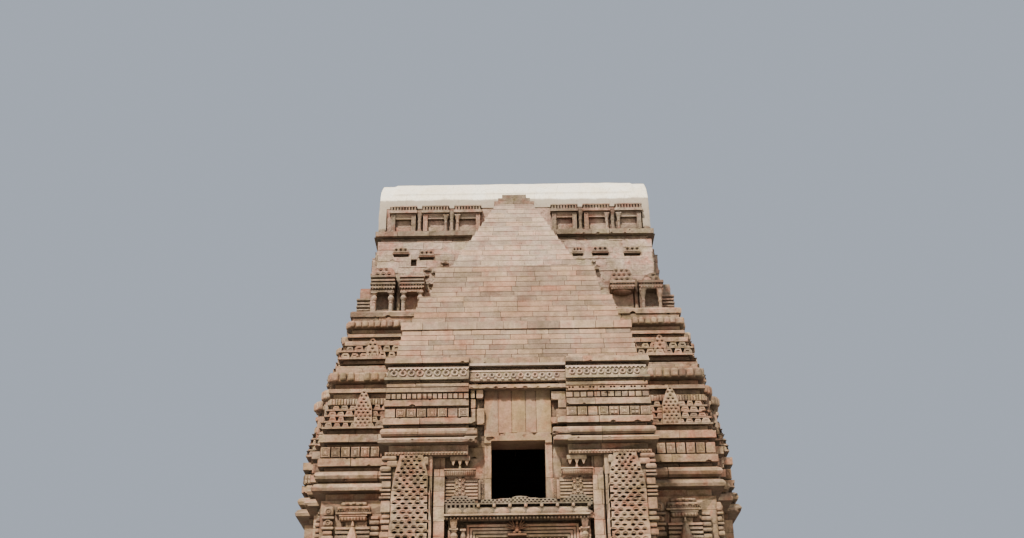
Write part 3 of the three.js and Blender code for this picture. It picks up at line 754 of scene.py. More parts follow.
def leaf_face(width, tall):
    """A blunt four-petalled flower on a block's face."""
    face = centred("leaf_face", width, -0.01, 0.02, -tall / 2, tall / 2)
    select_faces(face, in_front)
    bpy.ops.mesh.subdivide(number_cuts=1)
    bpy.ops.mesh.inset(thickness=width * 0.07, use_individual=True)
    pushed(0.032)
    return close(face)


def block_faces(name, places, width, tall, seed):
    """Carved faces on most blocks of a row. The rest are plain replacements."""
    draw = random.Random(seed)
    kinds = [[], [], []]
    for place in places:
        kinds[draw.choices((0, 1, 2), (5, 3, 2))[0]].append(place)
    return joined(name, [
        repeat("whorls", carved_face(width, tall), kinds[0]),
        repeat("leaves", leaf_face(width, tall), kinds[1]),
    ])


ring, outline = tower_rings["tower_block_course"][:2]
block_runs = runs_of(grown(outline, 0.09))
BLOCK_ROW, BLOCK_PITCH = 12.918, 0.29
carve(ring, repeat("slots", slot_cutter(0.045, 0.33, 0.12), row(
    block_runs, BLOCK_ROW, BLOCK_PITCH, between=True, skip=hidden)))
dress(block_faces("tower_block_faces", row(
    block_runs, BLOCK_ROW, BLOCK_PITCH, skip=hidden), 0.22, 0.27, 7))


def strip_back(piece, outline, z0, z1, leave):
    """Cuts one band of a ring back to a projection, which makes room for carving."""
    band = prism("band", grown(outline, 0.6), z0, z1)
    carve(band, prism("kept", grown(outline, leave), z0 - 0.02, z1 + 0.02))
    carve(piece, band)


# Ribbed cushion courses: the mason rounded the course, then cut it into upright lobes.
def pillow(width, depth, tall):
    """One rounded rib of a cushion, side by side with the next, that stands out from y = 0."""
    rib = centred("pillow", width, -depth, depth, -tall / 2, tall / 2)
    return soften(rib, min(width, tall, 2 * depth) * 0.4, 3)


def lobe(width, tall, depth):
    """One rounded rib, flat behind, that stands out from y = 0."""
    rib = shaped("lobe", bpy.ops.mesh.primitive_uv_sphere_add, segments=10, ring_count=6,
                 radius=0.5, scale=(width * 1.04, depth * 2, tall))
    return cut_off(rib, (0, 0.01, 0), (0, 1, 0))


# ring, low, high, projection behind the lobes, pitch, depth
RIBBED = [
    ("lower_ribbed_course", 15.222, 15.562, 0.05, 0.24, 0.17),
    ("lower_ribbed_course", 14.47, 14.68, 0.06, 0.085, 0.09),
    ("upper_ribbed_course", 17.283, 17.55, 0.04, 0.2, 0.15),
]
lobes = []
draw = random.Random(15)
for number, (node, low, high, behind, pitch, depth) in enumerate(RIBBED):
    ring, outline = tower_rings[node][:2]
    strip_back(ring, outline, low, high, behind)
    cushion = prism("cushion", grown(outline, behind + depth * 0.5), low + 0.005, high - 0.005)
    soften(cushion, depth * 0.45, 3)
    carve(cushion, prism("core", grown(outline, behind - 0.05), low - 0.1, high + 0.1))
    lay_in_stones(cushion, runs_of(outline), corners_of(outline), low, high, [], (0.9, 1.6),
                  number + 20)
    petals = [
        (x, y, z, turn, (sx * draw.uniform(0.9, 1.05), draw.uniform(0.8, 1.05),
                         draw.uniform(0.85, 1.0)))
        for x, y, z, turn, (sx, _, _)
        in row(runs_of(grown(outline, behind)), (low + high) / 2, pitch, skip=hidden)
        if draw.random() < 0.95]
    lobes += [cushion, repeat("lobes", pillow(pitch * 0.97, depth, high - low), petals)]
dress(wear(joined("tower_lobes", lobes), 1.5, 0.05, 0.16, 52))

# Deep grooves part the thin ledges of the upper courses.
# ring, low, high, what is left
GROOVES = [
    ("lower_ribbed_course", 15.6, 15.68, -0.04),
    ("upper_lattice_course", 15.87, 15.94, -0.04),
    ("upper_lattice_course", 16.665, 16.73, -0.05),
    ("upper_ribbed_course", 16.84, 16.905, -0.05),
    ("upper_ribbed_course", 17.1, 17.16, -0.04),
]
for node, low, high, leave in GROOVES:
    strip_back(*tower_rings[node][:2], low, high, leave)


# Courses of little dormers: each tier is a thin ledge with a row of arched gable windows on it,
# every window with a deep dark eye.
def dormer(width, tall, depth):
    """An arched gable window whose back is at y = 0 and whose sill is at z = 0."""
    gable = centred("dormer", width, -depth, 0.03, 0, tall)
    select_faces(gable, in_front)
    bpy.ops.mesh.subdivide(number_cuts=1)
    bpy.ops.mesh.select_mode(type="VERT")
    bpy.ops.mesh.select_all(action="DESELECT")
    close(gable)
    for vertex in gable.data.vertices:
        vertex.select = vertex.co.z > tall * 0.95
    bpy.ops.object.mode_set(mode="EDIT")
    bpy.ops.transform.resize(value=(0.6, 1, 1), center_override=(0, 0, 0))
    select_faces(close(gable), in_front)
    bpy.ops.mesh.inset(thickness=width * 0.25)
    pushed(-depth * 0.85)
    return close(gable)


# ring, low, high, projection of the tier, pitch of its dormers, share of a pitch they start at
TIERS = [
    ("tower_lattice_course", 13.658, 13.857, 0.13, 0.25, 0.0),
    ("tower_lattice_course", 13.857, 14.056, 0.09, 0.25, 0.06),
    ("tower_lattice_course", 14.056, 14.254, 0.05, 0.25, 0.0),
    ("tower_lattice_course", 14.254, 14.453, 0.01, 0.25, 0.06),
    ("upper_lattice_course", 16.116, 16.355, 0.11, 0.29, 0.0),
    ("upper_lattice_course", 16.355, 16.595, 0.06, 0.29, 0.08),
]
LEDGE, DORMER_DEPTH = 0.055, 0.085
dormers = []
draw = random.Random(16)
for node, low, high, out, pitch, trim in TIERS:
    ring, outline = tower_rings[node][:2]
    strip_back(ring, outline, low + LEDGE, high - 0.004, out - DORMER_DEPTH)
    dormers.append(repeat(
        "dormers", dormer(pitch * 0.95, high - low - 0.06, DORMER_DEPTH), [
            (x, y, z, turn, (sx * draw.uniform(0.8, 1.12), 1.0, draw.uniform(0.72, 1.0)))
            for x, y, z, turn, (sx, _, _)
            in row(runs_of(grown(outline, out - DORMER_DEPTH)), low + LEDGE, pitch, trim=trim,
                   skip=hidden)
            if draw.random() < 0.9]))
dress(wear(joined("tower_dormers", dormers), 0.7, 0.05, 0.14, 51))


# Gable windows of pierced stone: a stepped pediment cut through with staggered eyes, each under
# a little arched brow. One large block or a few, carved in place.
def within(outline, x, z, margin):
    """True where a point lies inside a convex counterclockwise outline, clear of its edges."""
    for (x0, z0), (x1, z1) in zip(outline, outline[1:] + outline[:1]):
        length = math.hypot(x1 - x0, z1 - z0)
        if ((x1 - x0) * (z - z0) - (z1 - z0) * (x - x0)) / length < margin:
            return False
    return True


def eyes_in(outline, pitch, rise):
    """Middles of the staggered eyes that fit in an outline of x and z."""
    low = min(z for _, z in outline)
    high = max(z for _, z in outline)
    columns = int(max(abs(x) for x, _ in outline) / pitch) + 2
    count = int((high - low) / rise)
    middles = []
    for k in range(count):
        z = low + (k + 0.5) * (high - low) / count
        for n in range(-columns, columns + 1):
            x = (n + 0.5 * (k % 2)) * pitch
            if within(outline, x, z, pitch * 0.32):
                middles.append((x, z))
    return middles


def eye_cutter(width, tall, depth):
    """A blunt lens, the shape of one pierced eye, to be cut out round y = 0."""
    return shaped("eye", bpy.ops.mesh.primitive_cylinder_add, vertices=6, radius=0.5,
                  depth=depth * 2, rotation=(math.radians(90), 0, 0), scale=(width, tall, 1))


def hoop(radius, thick, sides=12):
    """A plump ring, half sunk in the face at y = 0."""
    return shaped("hoop", bpy.ops.mesh.primitive_torus_add, major_segments=sides,
                  minor_segments=4, major_radius=radius, minor_radius=thick,
                  rotation=(math.radians(90), 0, 0))


def brow(width, thick):
    """The raised arch over one eye: the upper half of a small ring."""
    return cut_off(hoop(width / 2, thick / 2, 8), (0, 0, -0.005), (0, 0, -1))


def plate(name, outline, back, front):
    """An upright slab with this outline in x and z, from one y to another."""
    return swept(name, [(x, back, z) for x, z in outline], (0, front - back, 0))


def mirrored(*right):
    """A closed outline of x and z from its right half, given from the foot upwards."""
    left = [(-x, z) for x, z in right]
    return [left[0], *right, *reversed(left[1:])]


def pierced_gable(outline, depth, pitch, rise):
    """A stepped gable of pierced stone that stands out from y = 0 and faces forwards."""
    gable = plate("gable", outline, 0.03, -depth)
    eyes = [(x, -depth, z, 0.0, upright) for x, z in eyes_in(outline, pitch, rise)]
    carve(gable, repeat("eyes", eye_cutter(pitch * 0.6, rise * 0.52, depth * 0.8), eyes))
    return joined("gable", [gable, repeat("brows", brow(pitch * 0.8, pitch * 0.16), eyes)])


def tower_bays(low, high):
    """The middle of each broad run of the tower, at the plan of a height."""
    places = []
    for start, end in runs_of(tower_outline((low + high) / 2)):
        length = (end - start).length
        outward, turn = heading(start, end)[1:]
        if outward.y < -0.5 and length > 5:
            for side in (-1, 1):
                middle_x = (tower_outline(low)[0][0] + PORTICO_X) / 2 * side
                places.append((middle_x, start.y, 0.0, 0.0, upright))
        elif length > 0.9:
            middle = (start + end) / 2
            places.append((middle.x, middle.y, 0.0, turn, upright))
    return places


gables = [
    repeat("gables", pierced_gable(
        mirrored((0.28, 13.66), (0.25, 14.3), (0.18, 14.56), (0.05, 14.84)),
        0.21, 0.135, 0.105), tower_bays(13.66, 15.0)),
    repeat("gables", pierced_gable(
        mirrored((0.2, 16.12), (0.18, 16.5), (0.08, 16.74), (0.03, 16.8)),
        0.17, 0.15, 0.12), tower_bays(16.12, 16.9)),
]
dress(joined("tower_gables", gables))

# The rings are parted into stones only now, when all their bands are cut.
for node, (ring, outline, low, high, beds, number) in tower_rings.items():
    lay_in_stones(ring, runs_of(outline), corners_of(outline), low, high, list(beds),
                  (0.75, 1.35), 100 + number)
    settle(ring, 0.008)
    wear(ring, 0.6, 0.06, 0.26, 160 + number)
    dress(ring, node)


# Entrance block, upper part: two stacks of mouldings beside the closing slabs, then the frieze
# and the cornice across the whole width. Laid dry like the tower.
PORTICO_BACK = -4.6
STACKS, FRIEZE, CORNICE, CORNICE_TOP = 11.64, 13.77, 14.147, 14.413


def portico_runs(out):
    """Both halves of the front and both sides, at a projection, in the outline's direction."""
    x, y = PORTICO_X + out, PORTICO_Y + out
    return [
        line(-x, PORTICO_BACK, -x, -y), line(-x, -y, -STACK_END, -y),
        line(STACK_END, -y, x, -y), line(x, -y, x, PORTICO_BACK),
    ]


PORTICO_CORNERS = [
    (Vector((side * PORTICO_X, -PORTICO_Y)), Vector((side, -1))) for side in (-1, 1)]
stacks = copy_of("portico_moulding_stones", "left_portico_mouldings", "right_portico_mouldings")
for side in (-1, 1):
    carve(stacks, block("core", *spans(side, 1.5, 3.0), -7.5, -4.3, 11.5, 14.0))
BIG_BLOCKS, BIG_PITCH, SMALL_BLOCKS = 12.827, 0.272, 13.306
carve(stacks, repeat("slots", slot_cutter(0.035, 0.245, 0.1), row(
    portico_runs(0.06), BIG_BLOCKS, BIG_PITCH, between=True)))
small_runs = portico_runs(0.05)
carve(stacks, repeat("slots", slot_cutter(0.035, 0.15, 0.085), [
    *row(small_runs[:2], SMALL_BLOCKS, 0.139, between=True),
    *row(small_runs[2:], SMALL_BLOCKS, 0.19, between=True)]))
for side in (-1, 1):
    carve(stacks, block("old_strip", *spans(side, 1.02, 1.318), -8.2, -7.802, 12.48, 13.6))
carve(stacks, repeat("holes", eye_cutter(0.072, 0.06, 0.08), [
    (x + k * 0.044, y, z, turn, upright)
    for x, y, z, turn, _ in row([small_runs[2]], 13.507, 0.27) for k in (-1, 1)]))
lay_in_stones(
    stacks, portico_runs(0.0), PORTICO_CORNERS, STACKS, FRIEZE,
    [11.952, 12.143, 12.434, 12.69, 12.98, 13.212, 13.398, 13.566, 13.72], (0.8, 1.5), 41)
settle(stacks, 0.006)
wear(stacks, 0.5, 0.04, 0.2, 171)
dress(stacks, "left_portico_mouldings", "right_portico_mouldings")
dress(block_faces(
    "portico_block_faces", row(portico_runs(0.06), BIG_BLOCKS, BIG_PITCH), 0.2, 0.2, 8))

# The lowest mouldings run a little further in over the jambs, and end broken.
# front, low, high, rounding
STACK_LEDGES = [
    (-8.3, 11.965, 12.115, 0.03), (-8.235, 12.165, 12.37, 0.05), (-8.18, 12.5, 12.665, 0.01)]
stack_ends = []
for side, ends in ((-1, (1.06, 1.08, 1.13)), (1, (0.94, 0.92, 1.06))):
    for end, (front, z0, z1, soft) in zip(ends, STACK_LEDGES):
        ledge = block("stack_end", *spans(side, end, 1.42), front, -7.8, z0, z1)
        stack_ends.append(soften(ledge, soft, 2))
stack_ends = joined("stack_ends", stack_ends)
carve(stack_ends, lumps("breaks", [
    (-1.05, -8.28, 12.0, 0.26), (-1.07, -8.25, 12.33, 0.24), (-1.12, -8.2, 12.49, 0.22),
    (-1.06, -8.0, 12.62, 0.2), (0.93, -8.28, 12.1, 0.26), (0.92, -8.24, 12.18, 0.24),
    (1.05, -8.2, 12.66, 0.26), (1.2, -8.24, 12.36, 0.12), (-1.25, -8.3, 11.98, 0.12)], 35))
dress(stack_ends)

frieze = copy_of("portico_frieze_stones", "portico_frieze")
carve(frieze, block("core", -3.0, 3.0, -7.4, -4.2, 13.5, 14.5))
head_runs = [
    line(-PORTICO_X, PORTICO_BACK, -PORTICO_X, -PORTICO_Y),
    line(-PORTICO_X, -PORTICO_Y, PORTICO_X, -PORTICO_Y),
    line(PORTICO_X, -PORTICO_Y, PORTICO_X, PORTICO_BACK),
]
RING_ROW, MIDDLE_ROW = 13.968, 13.925
frieze_runs = portico_runs(0.03)
large_rings = evenly(-1.459, -0.2364, range(9), -8.112, RING_ROW)
small_rings = evenly(1.505, 0.196, range(10), -8.112, RING_ROW)
small_rings += row([frieze_runs[0], frieze_runs[3]], RING_ROW, 0.196)
middle_rings = evenly(-1.08, 0.1965, range(12), -8.012, MIDDLE_ROW)
# places, width of the core, ring, number of peaks, their size, how far beside the rings, foot
ring_rows = [
    (large_rings, 0.1, (0.072, 0.031), 8, (0.1, 0.07, 0.04), -0.1182, 13.838),
    (small_rings, 0.085, (0.061, 0.028), 9, (0.09, 0.06, 0.04), 0.098, 13.838),
    (middle_rings, 0.08, (0.057, 0.026), 11, (0.09, 0.05, 0.03), 0.098, 13.81),
]
for places, width, *_ in ring_rows:
    carve(frieze, repeat("ring_cores", eye_cutter(width, width, 0.016), places))
carve(frieze, block("recess", -1.318, 1.318, -9, -7.9, 14.075, 14.2))
lay_in_stones(frieze, head_runs, PORTICO_CORNERS, FRIEZE, CORNICE, [13.844], (0.7, 1.3), 42)
settle(frieze, 0.005)
dress(frieze, "portico_frieze", finish=lichened_sandstone)
cornice = copy_of("portico_cornice_stones", "portico_cornice")
carve(cornice, block("core", -3.0, 3.0, -7.4, -4.2, 14.0, 14.6))
carve(cornice, block("set_back", -1.32, 1.32, -9, -8.1, 14.0, 14.6))
carve(cornice, block("recess", -1.318, 1.318, -9, -7.9, 14.0, 14.188))
lay_in_stones(cornice, head_runs, PORTICO_CORNERS, CORNICE, CORNICE_TOP, [14.246], (0.7, 1.4), 43)
settle(cornice, 0.005)
wear(cornice, 0.6, 0.04, 0.16, 172)
dress(cornice, "portico_cornice")


# Frieze of rings: a row of plump carved rings under small teeth, with peaks between them that
# rise from the band below. The middle third is set back with the door bay, under a plain fillet.
def ring_motif(radius, thick):
    """A carved ring with a boss in it."""
    return joined("ring_motif", [
        hoop(radius, thick), bead(radius * 0.7, radius * 0.5, radius * 0.7)])


def tooth(width, tall, depth):
    """A small triangle that hangs point down from z = 0."""
    return narrowed(centred("tooth", width, -depth, 0.01, -tall, 0), below, (0.15, 1, 1), (0, 0, 0))


def peak(width, tall, depth):
    """The same triangle standing point up on z = 0."""
    standing = tooth(width, tall, depth)
    standing.rotation_euler = (0, math.pi, 0)
    return in_place(standing)


dress(joined("frieze_rings", [
    *[repeat("rings", hoop(*ring), places) for places, _, ring, *_ in ring_rows],
    *[repeat("peaks", peak(*size), [
        (x + beside, y, foot, turn, upright) for x, y, _, turn, _ in places[:count]])
      for places, _, _, count, size, beside, foot in ring_rows],
    repeat("teeth", tooth(0.09, 0.055, 0.035), row(frieze_runs, 14.11, 0.118)),
    block("side_fillet", -3.52, -1.32, -8.14, -8.05, 14.1, 14.142),
    block("side_fillet", 1.32, 3.52, -8.14, -8.05, 14.1, 14.142),
    centred("middle_fillet", 2.636, -8.028, -7.99, 14.03, 14.07),
    centred("middle_lip", 2.636, -8.1, -7.95, 14.185, 14.255),
]), finish=pale_sandstone_painted_light)


# Stepped facing: plain new ashlar leant against the front of the tower, each course a little
# shorter and set back, with fine joints and arrises still sharp. The leaning courses have a small
# lip along the top, which throws the water off the bed below.
# first and last half width, first and last front, low, high, number of courses
STAGES = [
    ("facing_base", (3.35, 3.19), (-7.96, -7.87), CORNICE_TOP, 15.36, 6),
    ("facing_coping", (3.23, 3.23), (-7.9, -7.9), 15.36, 15.606, 1),
    ("facing_second_stage", (3.01, 2.8), (-7.43, -7.18), 15.606, 16.75, 6),
    ("facing_third_stage", (2.54, 2.38), (-6.74, -6.36), 16.75, 18.12, 7),
    ("facing_spire", (2.12, 0.78), (-5.88, -2.92), 18.12, 22.25, 14),
    ("facing_cap", (0.69, 0.42), (-2.86, -2.72), 22.25, 22.75, 3),
]
STONE_DEPTH = 0.66
FACING_JOINT, FACING_BED = 0.008, 0.014


def lengths_along(draw, length, shortest, longest):
    """Stone lengths that fill a course."""
    lengths = []
    while length - sum(lengths) > longest:
        lengths.append(draw.uniform(shortest, longest))
    rest = length - sum(lengths)
    if rest < shortest and lengths:
        lengths[-1] = (lengths[-1] + rest) / 2
        rest = length - sum(lengths)
    return lengths + [rest]


draw = random.Random(11)
for name, halves, fronts, low, high, count in STAGES:
    places = []
    for i in range(count):
        share = i / (count - 1) if count > 1 else 0
        half = halves[0] + (halves[1] - halves[0]) * share
        front = fronts[0] + (fronts[1] - fronts[0]) * share
        z0, z1 = (low + (high - low) * k / count for k in (i, i + 1))
        back = -max(2.3, min(4.2, -tower_outline(z0)[0][1])) if z0 < TERRACE else -2.3
        middle, tall = (z0 + z1) / 2, z1 - z0 - FACING_BED
        at = -half
        for length in lengths_along(draw, 2 * half, 0.5, 1.0):
            depth = STONE_DEPTH + draw.uniform(-0.004, 0.004)
            places.append((
                at + length / 2, front + depth / 2 + draw.uniform(-0.004, 0.004), middle, 0.0,
                (length - FACING_JOINT, depth, tall)))
            at += length
        for side in (-1, 1):
            at = front + STONE_DEPTH + 0.004
            for length in lengths_along(draw, back - at, 0.6, 1.0) if back - at > 0.2 else []:
                places.append((
                    side * (half - 0.25 + draw.uniform(-0.003, 0.003)), at + length / 2, middle,
                    0.0, (0.5, length - FACING_JOINT, tall)))
                at += length
    stone = block("stone", *UNIT)
    if count > 3 and name != "facing_base":
        carve(stone, block("under_lip", -1, 1, -1, -0.486, -1, 0.4))
    stones = repeat(name + "_stones", stone, places)
    if name == "facing_spire":
        for side in (-1, 1):
            slope = block("slope", *spans(side, 2.08, 4), -8, 0, low - 0.1, high + 0.1)
            narrowed(slope, lambda middle, normal: normal.z > 0.9, (1.76, 1, 1),
                     (side * 4, 0, 0))
            carve(stones, slope)
    soften(stones, 0.006, 1)
    # The spire's lighter stone is painted light, for the stronger sun on its leaning courses.
    finish = {"facing_cap": grey_stone, "facing_spire": pale_sandstone_painted_light}
    dress(stones, name, finish=finish.get(name, new_sandstone), slot="ashlar")


# Walls of the shrine: an outer shell of squared stones with the tall niches of each bay bonded
# into it, and an inner lining.
WALL_BEDS = [round(FLOOR + k * (WALL_TOP - FLOOR) / 19, 3) for k in range(1, 19)]
shrine = tower_outline(0)


def shrine_wall(node, inner, runs, corners, seed):
    """One wall of the shrine: its shell of stones, cut free of the lining that inner covers."""
    wall = copy_of(node + "_stones", node)
    core = prism("core", grown(shrine, -0.46), 3.5, 12)
    for cover in inner:
        carve(core, block("lining", *cover, 3, 13))
    carve(wall, core)
    lay_in_stones(wall, runs, corners, FLOOR, WALL_TOP, WALL_BEDS, (0.55, 1.1), seed)
    dress(settle(wall, 0.006), node)


for side, node in ((-1, "left_wall"), (1, "right_wall")):
    runs = [run for run in runs_of(shrine) if min(end.x * side for end in run) > 3.2]
    x0, x1 = spans(side, 3.4, CORNER_X)
    runs.append(line(x0, -CORNER_Y, x1, -CORNER_Y))
    corners = [corner for corner in corners_of(shrine) if corner[0].x * side > 3.9]
    shrine_wall(node, [(*spans(side, -9, 3.7), -9, 9)], runs, corners, 60 + side)
shrine_wall(
    "back_wall", [(-20, 20, -20, 2.8), (-20, -3.25, -20, 20), (3.25, 20, -20, 20)],
    [run for run in runs_of(shrine) if min(end.y for end in run) > 4],
    [corner for corner in corners_of(shrine) if corner[0].y > 4.9], 62)


# Turned and faceted posts, used at the door, in the pavilions and along the crown.
def lathe(name, middle, levels, sides=10):
    """A turned post: (height, radius) levels from its foot upwards, round an upright axis."""
    post = shaped(name, bpy.ops.mesh.primitive_circle_add, vertices=sides, radius=levels[0][1],
                  location=(*middle, levels[0][0]), fill_type="NGON")
    open_all(post)
    for (z0, r0), (z1, r1) in zip(levels, levels[1:]):
        extrude((0, 0, z1 - z0))
        bpy.ops.transform.resize(
            value=(r1 / r0, r1 / r0, 1), center_override=(*middle, z1))
    bpy.ops.mesh.select_all(action="SELECT")
    bpy.ops.mesh.normals_make_consistent(inside=False)
    return close(post)


def column(x, y, low, high, radius, profile, top, abacus):
    """A turned shaft under a square slab: (share of height, share of radius) for its profile."""
    tall = high - low
    levels = [(low + tall * rise, radius * share) for rise, share in profile]
    levels.append((high - top[0], radius * top[1]))
    half_x, half_y, thick = radius * abacus[0], radius * abacus[1], abacus[2]
    return joined("column", [
        lathe("shaft", (x, y), levels),
        block("abacus", x - half_x, x + half_x, y - half_y, y + half_y, high - thick, high + 0.01),
    ])


def ball_column(x, y, low, high, radius):
    """A short round column with a ball under its capital."""
    return column(x, y, low, high, radius, [
        (0, 1), (0.12, 1), (0.16, 0.8), (0.56, 0.76), (0.6, 0.95), (0.64, 0.7), (0.7, 1),
        (0.77, 1.22), (0.84, 1), (0.88, 0.75)], (0.02, 1.1), (1.25, 1.25, 0.04))


def flared_column(x, y, low, high, radius):
    """A baluster: a slim neck that flares to a wide flat head."""
    return column(x, y, low, high, radius, [
        (0, 1), (0.1, 1), (0.14, 0.65), (0.45, 0.6), (0.55, 0.85), (0.6, 0.6), (0.7, 0.75),
        (0.85, 1.2)], (0.01, 1.45), (1.3, 1.2, 0.05))


# Wall niches: over each niche hang a fluted awning and tiers of little ledges, and a pierced
# gable with a finial rises before them.
def slats(width, low, high, count, depth, gap_share=0.45):
    """A stack of thin ledges that stand out from y = 0, with dark gaps between them."""
    pitch = (high - low) / count
    return joined("slats", [
        centred("slat", width, -depth, 0.03, low + k * pitch, low + (k + 1 - gap_share) * pitch)
        for k in range(count)])


def fluted_awning(width, low, high, depth, pitch):
    """A rounded drip ledge with fine upright flutes under a thin shelf."""
    places = row([line(-width / 2, 0, width / 2, 0)], (low + high) / 2, pitch)
    roll = centred("roll", width, -depth * 0.74, 0.02, low + 0.01, high)
    return joined("awning", [
        soften(roll, min(depth * 0.8, (high - low) * 0.42), 3),
        repeat("flutes", lobe(pitch * 0.78, (high - low) * 0.96, depth), places),
        centred("shelf", width, -depth * 0.75, 0.02, high - 0.015, high + 0.02),
    ])


def finial(low, high, half):
    """A slim ringed spike."""
    spike = shaped("finial", bpy.ops.mesh.primitive_cone_add, vertices=8, radius1=half,
                   radius2=half * 0.15, depth=high - low, location=(0, -half, (low + high) / 2))
    open_all(spike)
    bpy.ops.mesh.subdivide(number_cuts=1)
    return soften(close(spike), half * 0.2, 1)


corner_niches = [
    *[(side * 4.75, -CORNER_Y, 0.0, 0.0, upright) for side in (-1, 1)],
    *[(side * CORNER_X, y, 0.0, side * math.pi / 2, upright)
      for side in (-1, 1) for y in (-3.775, 3.775)],
    *[(side * 4.74, CORNER_Y, 0.0, math.pi, upright) for side in (-1, 1)],
]
bay_niches = [
    *[(side * BAY_X, 0, 0.0, side * math.pi / 2, upright) for side in (-1, 1)],
    (0, 5.6, 0.0, math.pi, upright),
]


def moved(piece, y):
    """The same piece set further out from the wall."""
    piece.location.y += y
    return in_place(piece)


def cushions(middle, width, levels, depth):
    """Stones rounded like cushions, piled up: (low, high, share of the width) for each."""
    pile = []
    for low, high, share in levels:
        half = width * share / 2
        cushion = block("cushion", middle - half, middle + half, -depth * share, 0.03, low, high)
        pile.append(soften(cushion, (high - low) * 0.4, 3))
    return joined("cushions", pile)


corner_dressing = joined("corner_dressing", [
    cushions(0.0, 1.04, [(11.04, 11.13, 1.0), (11.16, 11.3, 0.92), (11.3, 11.42, 0.72)], 0.12),
    repeat("bosses", bead(0.13, 0.06, 0.09), [
        (x, -0.11, z, 0.0, upright)
        for x, z in ((-0.36, 11.23), (-0.18, 11.24), (0, 11.23), (0.18, 11.24), (0.36, 11.23),
                     (-0.2, 11.36), (0, 11.37), (0.2, 11.36))]),
    repeat("bead_line", bead(0.045, 0.05, 0.05), row(
        [line(-0.5, -0.13, 0.5, -0.13)], 11.145, 0.07)),
    moved(fluted_awning(0.8, 10.82, 10.99, 0.2, 0.085), -0.04),
    cushions(-0.72, 0.36, [
        (11.0, 11.3, 0.85), (10.9, 10.99, 1.0), (10.7, 10.89, 0.8), (10.6, 10.69, 1.0),
        (10.45, 10.59, 0.8), (10.28, 10.44, 1.0), (9.9, 10.1, 1.0), (9.6, 9.75, 0.9)], 0.16),
    repeat("scroll_rings", ring_motif(0.07, 0.02), [
        (-0.72, -0.14, z, 0.0, upright) for z in (11.14, 10.8)]),
    cushions(0.62, 0.3, [
        (10.88, 11.0, 0.8), (10.72, 10.86, 1.0), (10.55, 10.7, 0.9), (10.4, 10.53, 1.0),
        (10.2, 10.36, 0.9), (9.95, 10.15, 1.0), (9.65, 9.85, 0.9)], 0.15),
    moved(slats(0.98, 9.5, 10.72, 10, 0.07), -0.1),
    moved(lathe("spire", (0.0, 0.0), [
        (9.35, 0.24), (9.9, 0.23), (10.3, 0.17), (10.6, 0.08), (10.66, 0.045), (10.69, 0.06),
        (10.84, 0.012)], 8), -0.16),
    moved(slats(1.08, 8.52, 9.3, 6, 0.09), -0.12),
    moved(fluted_awning(1.1, 8.3, 8.5, 0.16, 0.09), -0.14),
])
dress(repeat("corner_niche_dressing", corner_dressing, corner_niches))
bay_dressing = joined("bay_dressing", [
    moved(fluted_awning(1.9, 10.82, 10.98, 0.2, 0.09), -0.05),
    moved(slats(2.1, 11.06, 11.42, 4, 0.09), -0.05),
    moved(pierced_gable(
        mirrored((0.85, 7.9), (0.82, 9.3), (0.5, 10.5), (0.12, 10.95)), 0.12, 0.2, 0.13), -0.2),
    moved(fluted_awning(2.34, 7.6, 7.83, 0.2, 0.11), -0.22),
])
dress(repeat("bay_niche_dressing", bay_dressing, bay_niches))


# Walls of the entrance block. A tall gable of pierced stone fills each side of the front, with a
# pilaster and deep grooves between it and the door bay, and ledges stepping round the corner.
GABLE_MIDDLE = 2.81
GABLE_FACE = -8.19
GABLE_BODY = mirrored(
    (0.505, 7.6), (0.505, 10.6), (0.46, 11.0), (0.38, 11.33), (0.33, 11.5), (0.3, 11.637))
# x from, x to, how far in, low, high
GABLE_GROOVES = [
    (2.33, 2.375, -8.04, 7.6, 11.1), (2.215, 2.265, -7.96, 7.6, 11.7),
    (1.9, 2.24, -7.9, 11.27, 11.7)]
# The eyes stand closer together and get smaller towards the top: x, z, width share.
eyes = []
for k in range(33):
    z = 11.585 - 0.1035 * k - max(0, k - 12) * 0.023
    count = 4 if k % 2 else 3 if k < 4 else 5
    pitch = min(0.197, 0.132 + 0.009 * k)
    eyes += [((n - (count - 1) / 2) * pitch, z, min(1.0, 0.62 + 0.032 * k))
             for n in range(count)]
eyes = [(x, z, share) for x, z, share in eyes if z > 7.75]
draw = random.Random(21)
for side, node in ((-1, "left_portico_wall"), (1, "right_portico_wall")):
    wall = copy_of(node + "_stones", node)
    for x0, x1, y0 in ((2.1, 3.05, -7.52), (1.25, 2.2, -6.9)):
        carve(wall, block("core", *spans(side, x0, x1), y0, -4.9, 3.5, 12.2))
    body = [(side * GABLE_MIDDLE + x, z) for x, z in GABLE_BODY]
    carve(wall, plate("gable_body", body, -8.0, GABLE_FACE), "UNION")
    for x0, x1, depth, z0, z1 in GABLE_GROOVES:
        carve(wall, block("groove", *spans(side, x0, x1), -8.4, depth, z0, z1))
    lay_in_stones(
        wall, [run for run in portico_runs(0.0) if run[0].x * side > 0.5],
        [corner for corner in PORTICO_CORNERS if corner[0].x * side > 0],
        FLOOR, STACKS, WALL_BEDS, (0.6, 1.2), 70 + side)
    spots = [
        (side * GABLE_MIDDLE + x + draw.uniform(-0.012, 0.012), GABLE_FACE,
         z + draw.uniform(-0.006, 0.006), 0.0,
         (share * draw.uniform(0.8, 1.1), 1.0, draw.uniform(0.75, 1.1))) for x, z, share in eyes]
    carve(wall, repeat("eyes", eye_cutter(0.14, 0.074, 0.2), spots))
    dress(settle(wall, 0.004), node)
    brows = repeat("left_tall_gable_brows" if side < 0 else "right_tall_gable_brows",
                   brow(0.17, 0.035), [spot for spot in spots if draw.random() < 0.85])
    dress(brows)


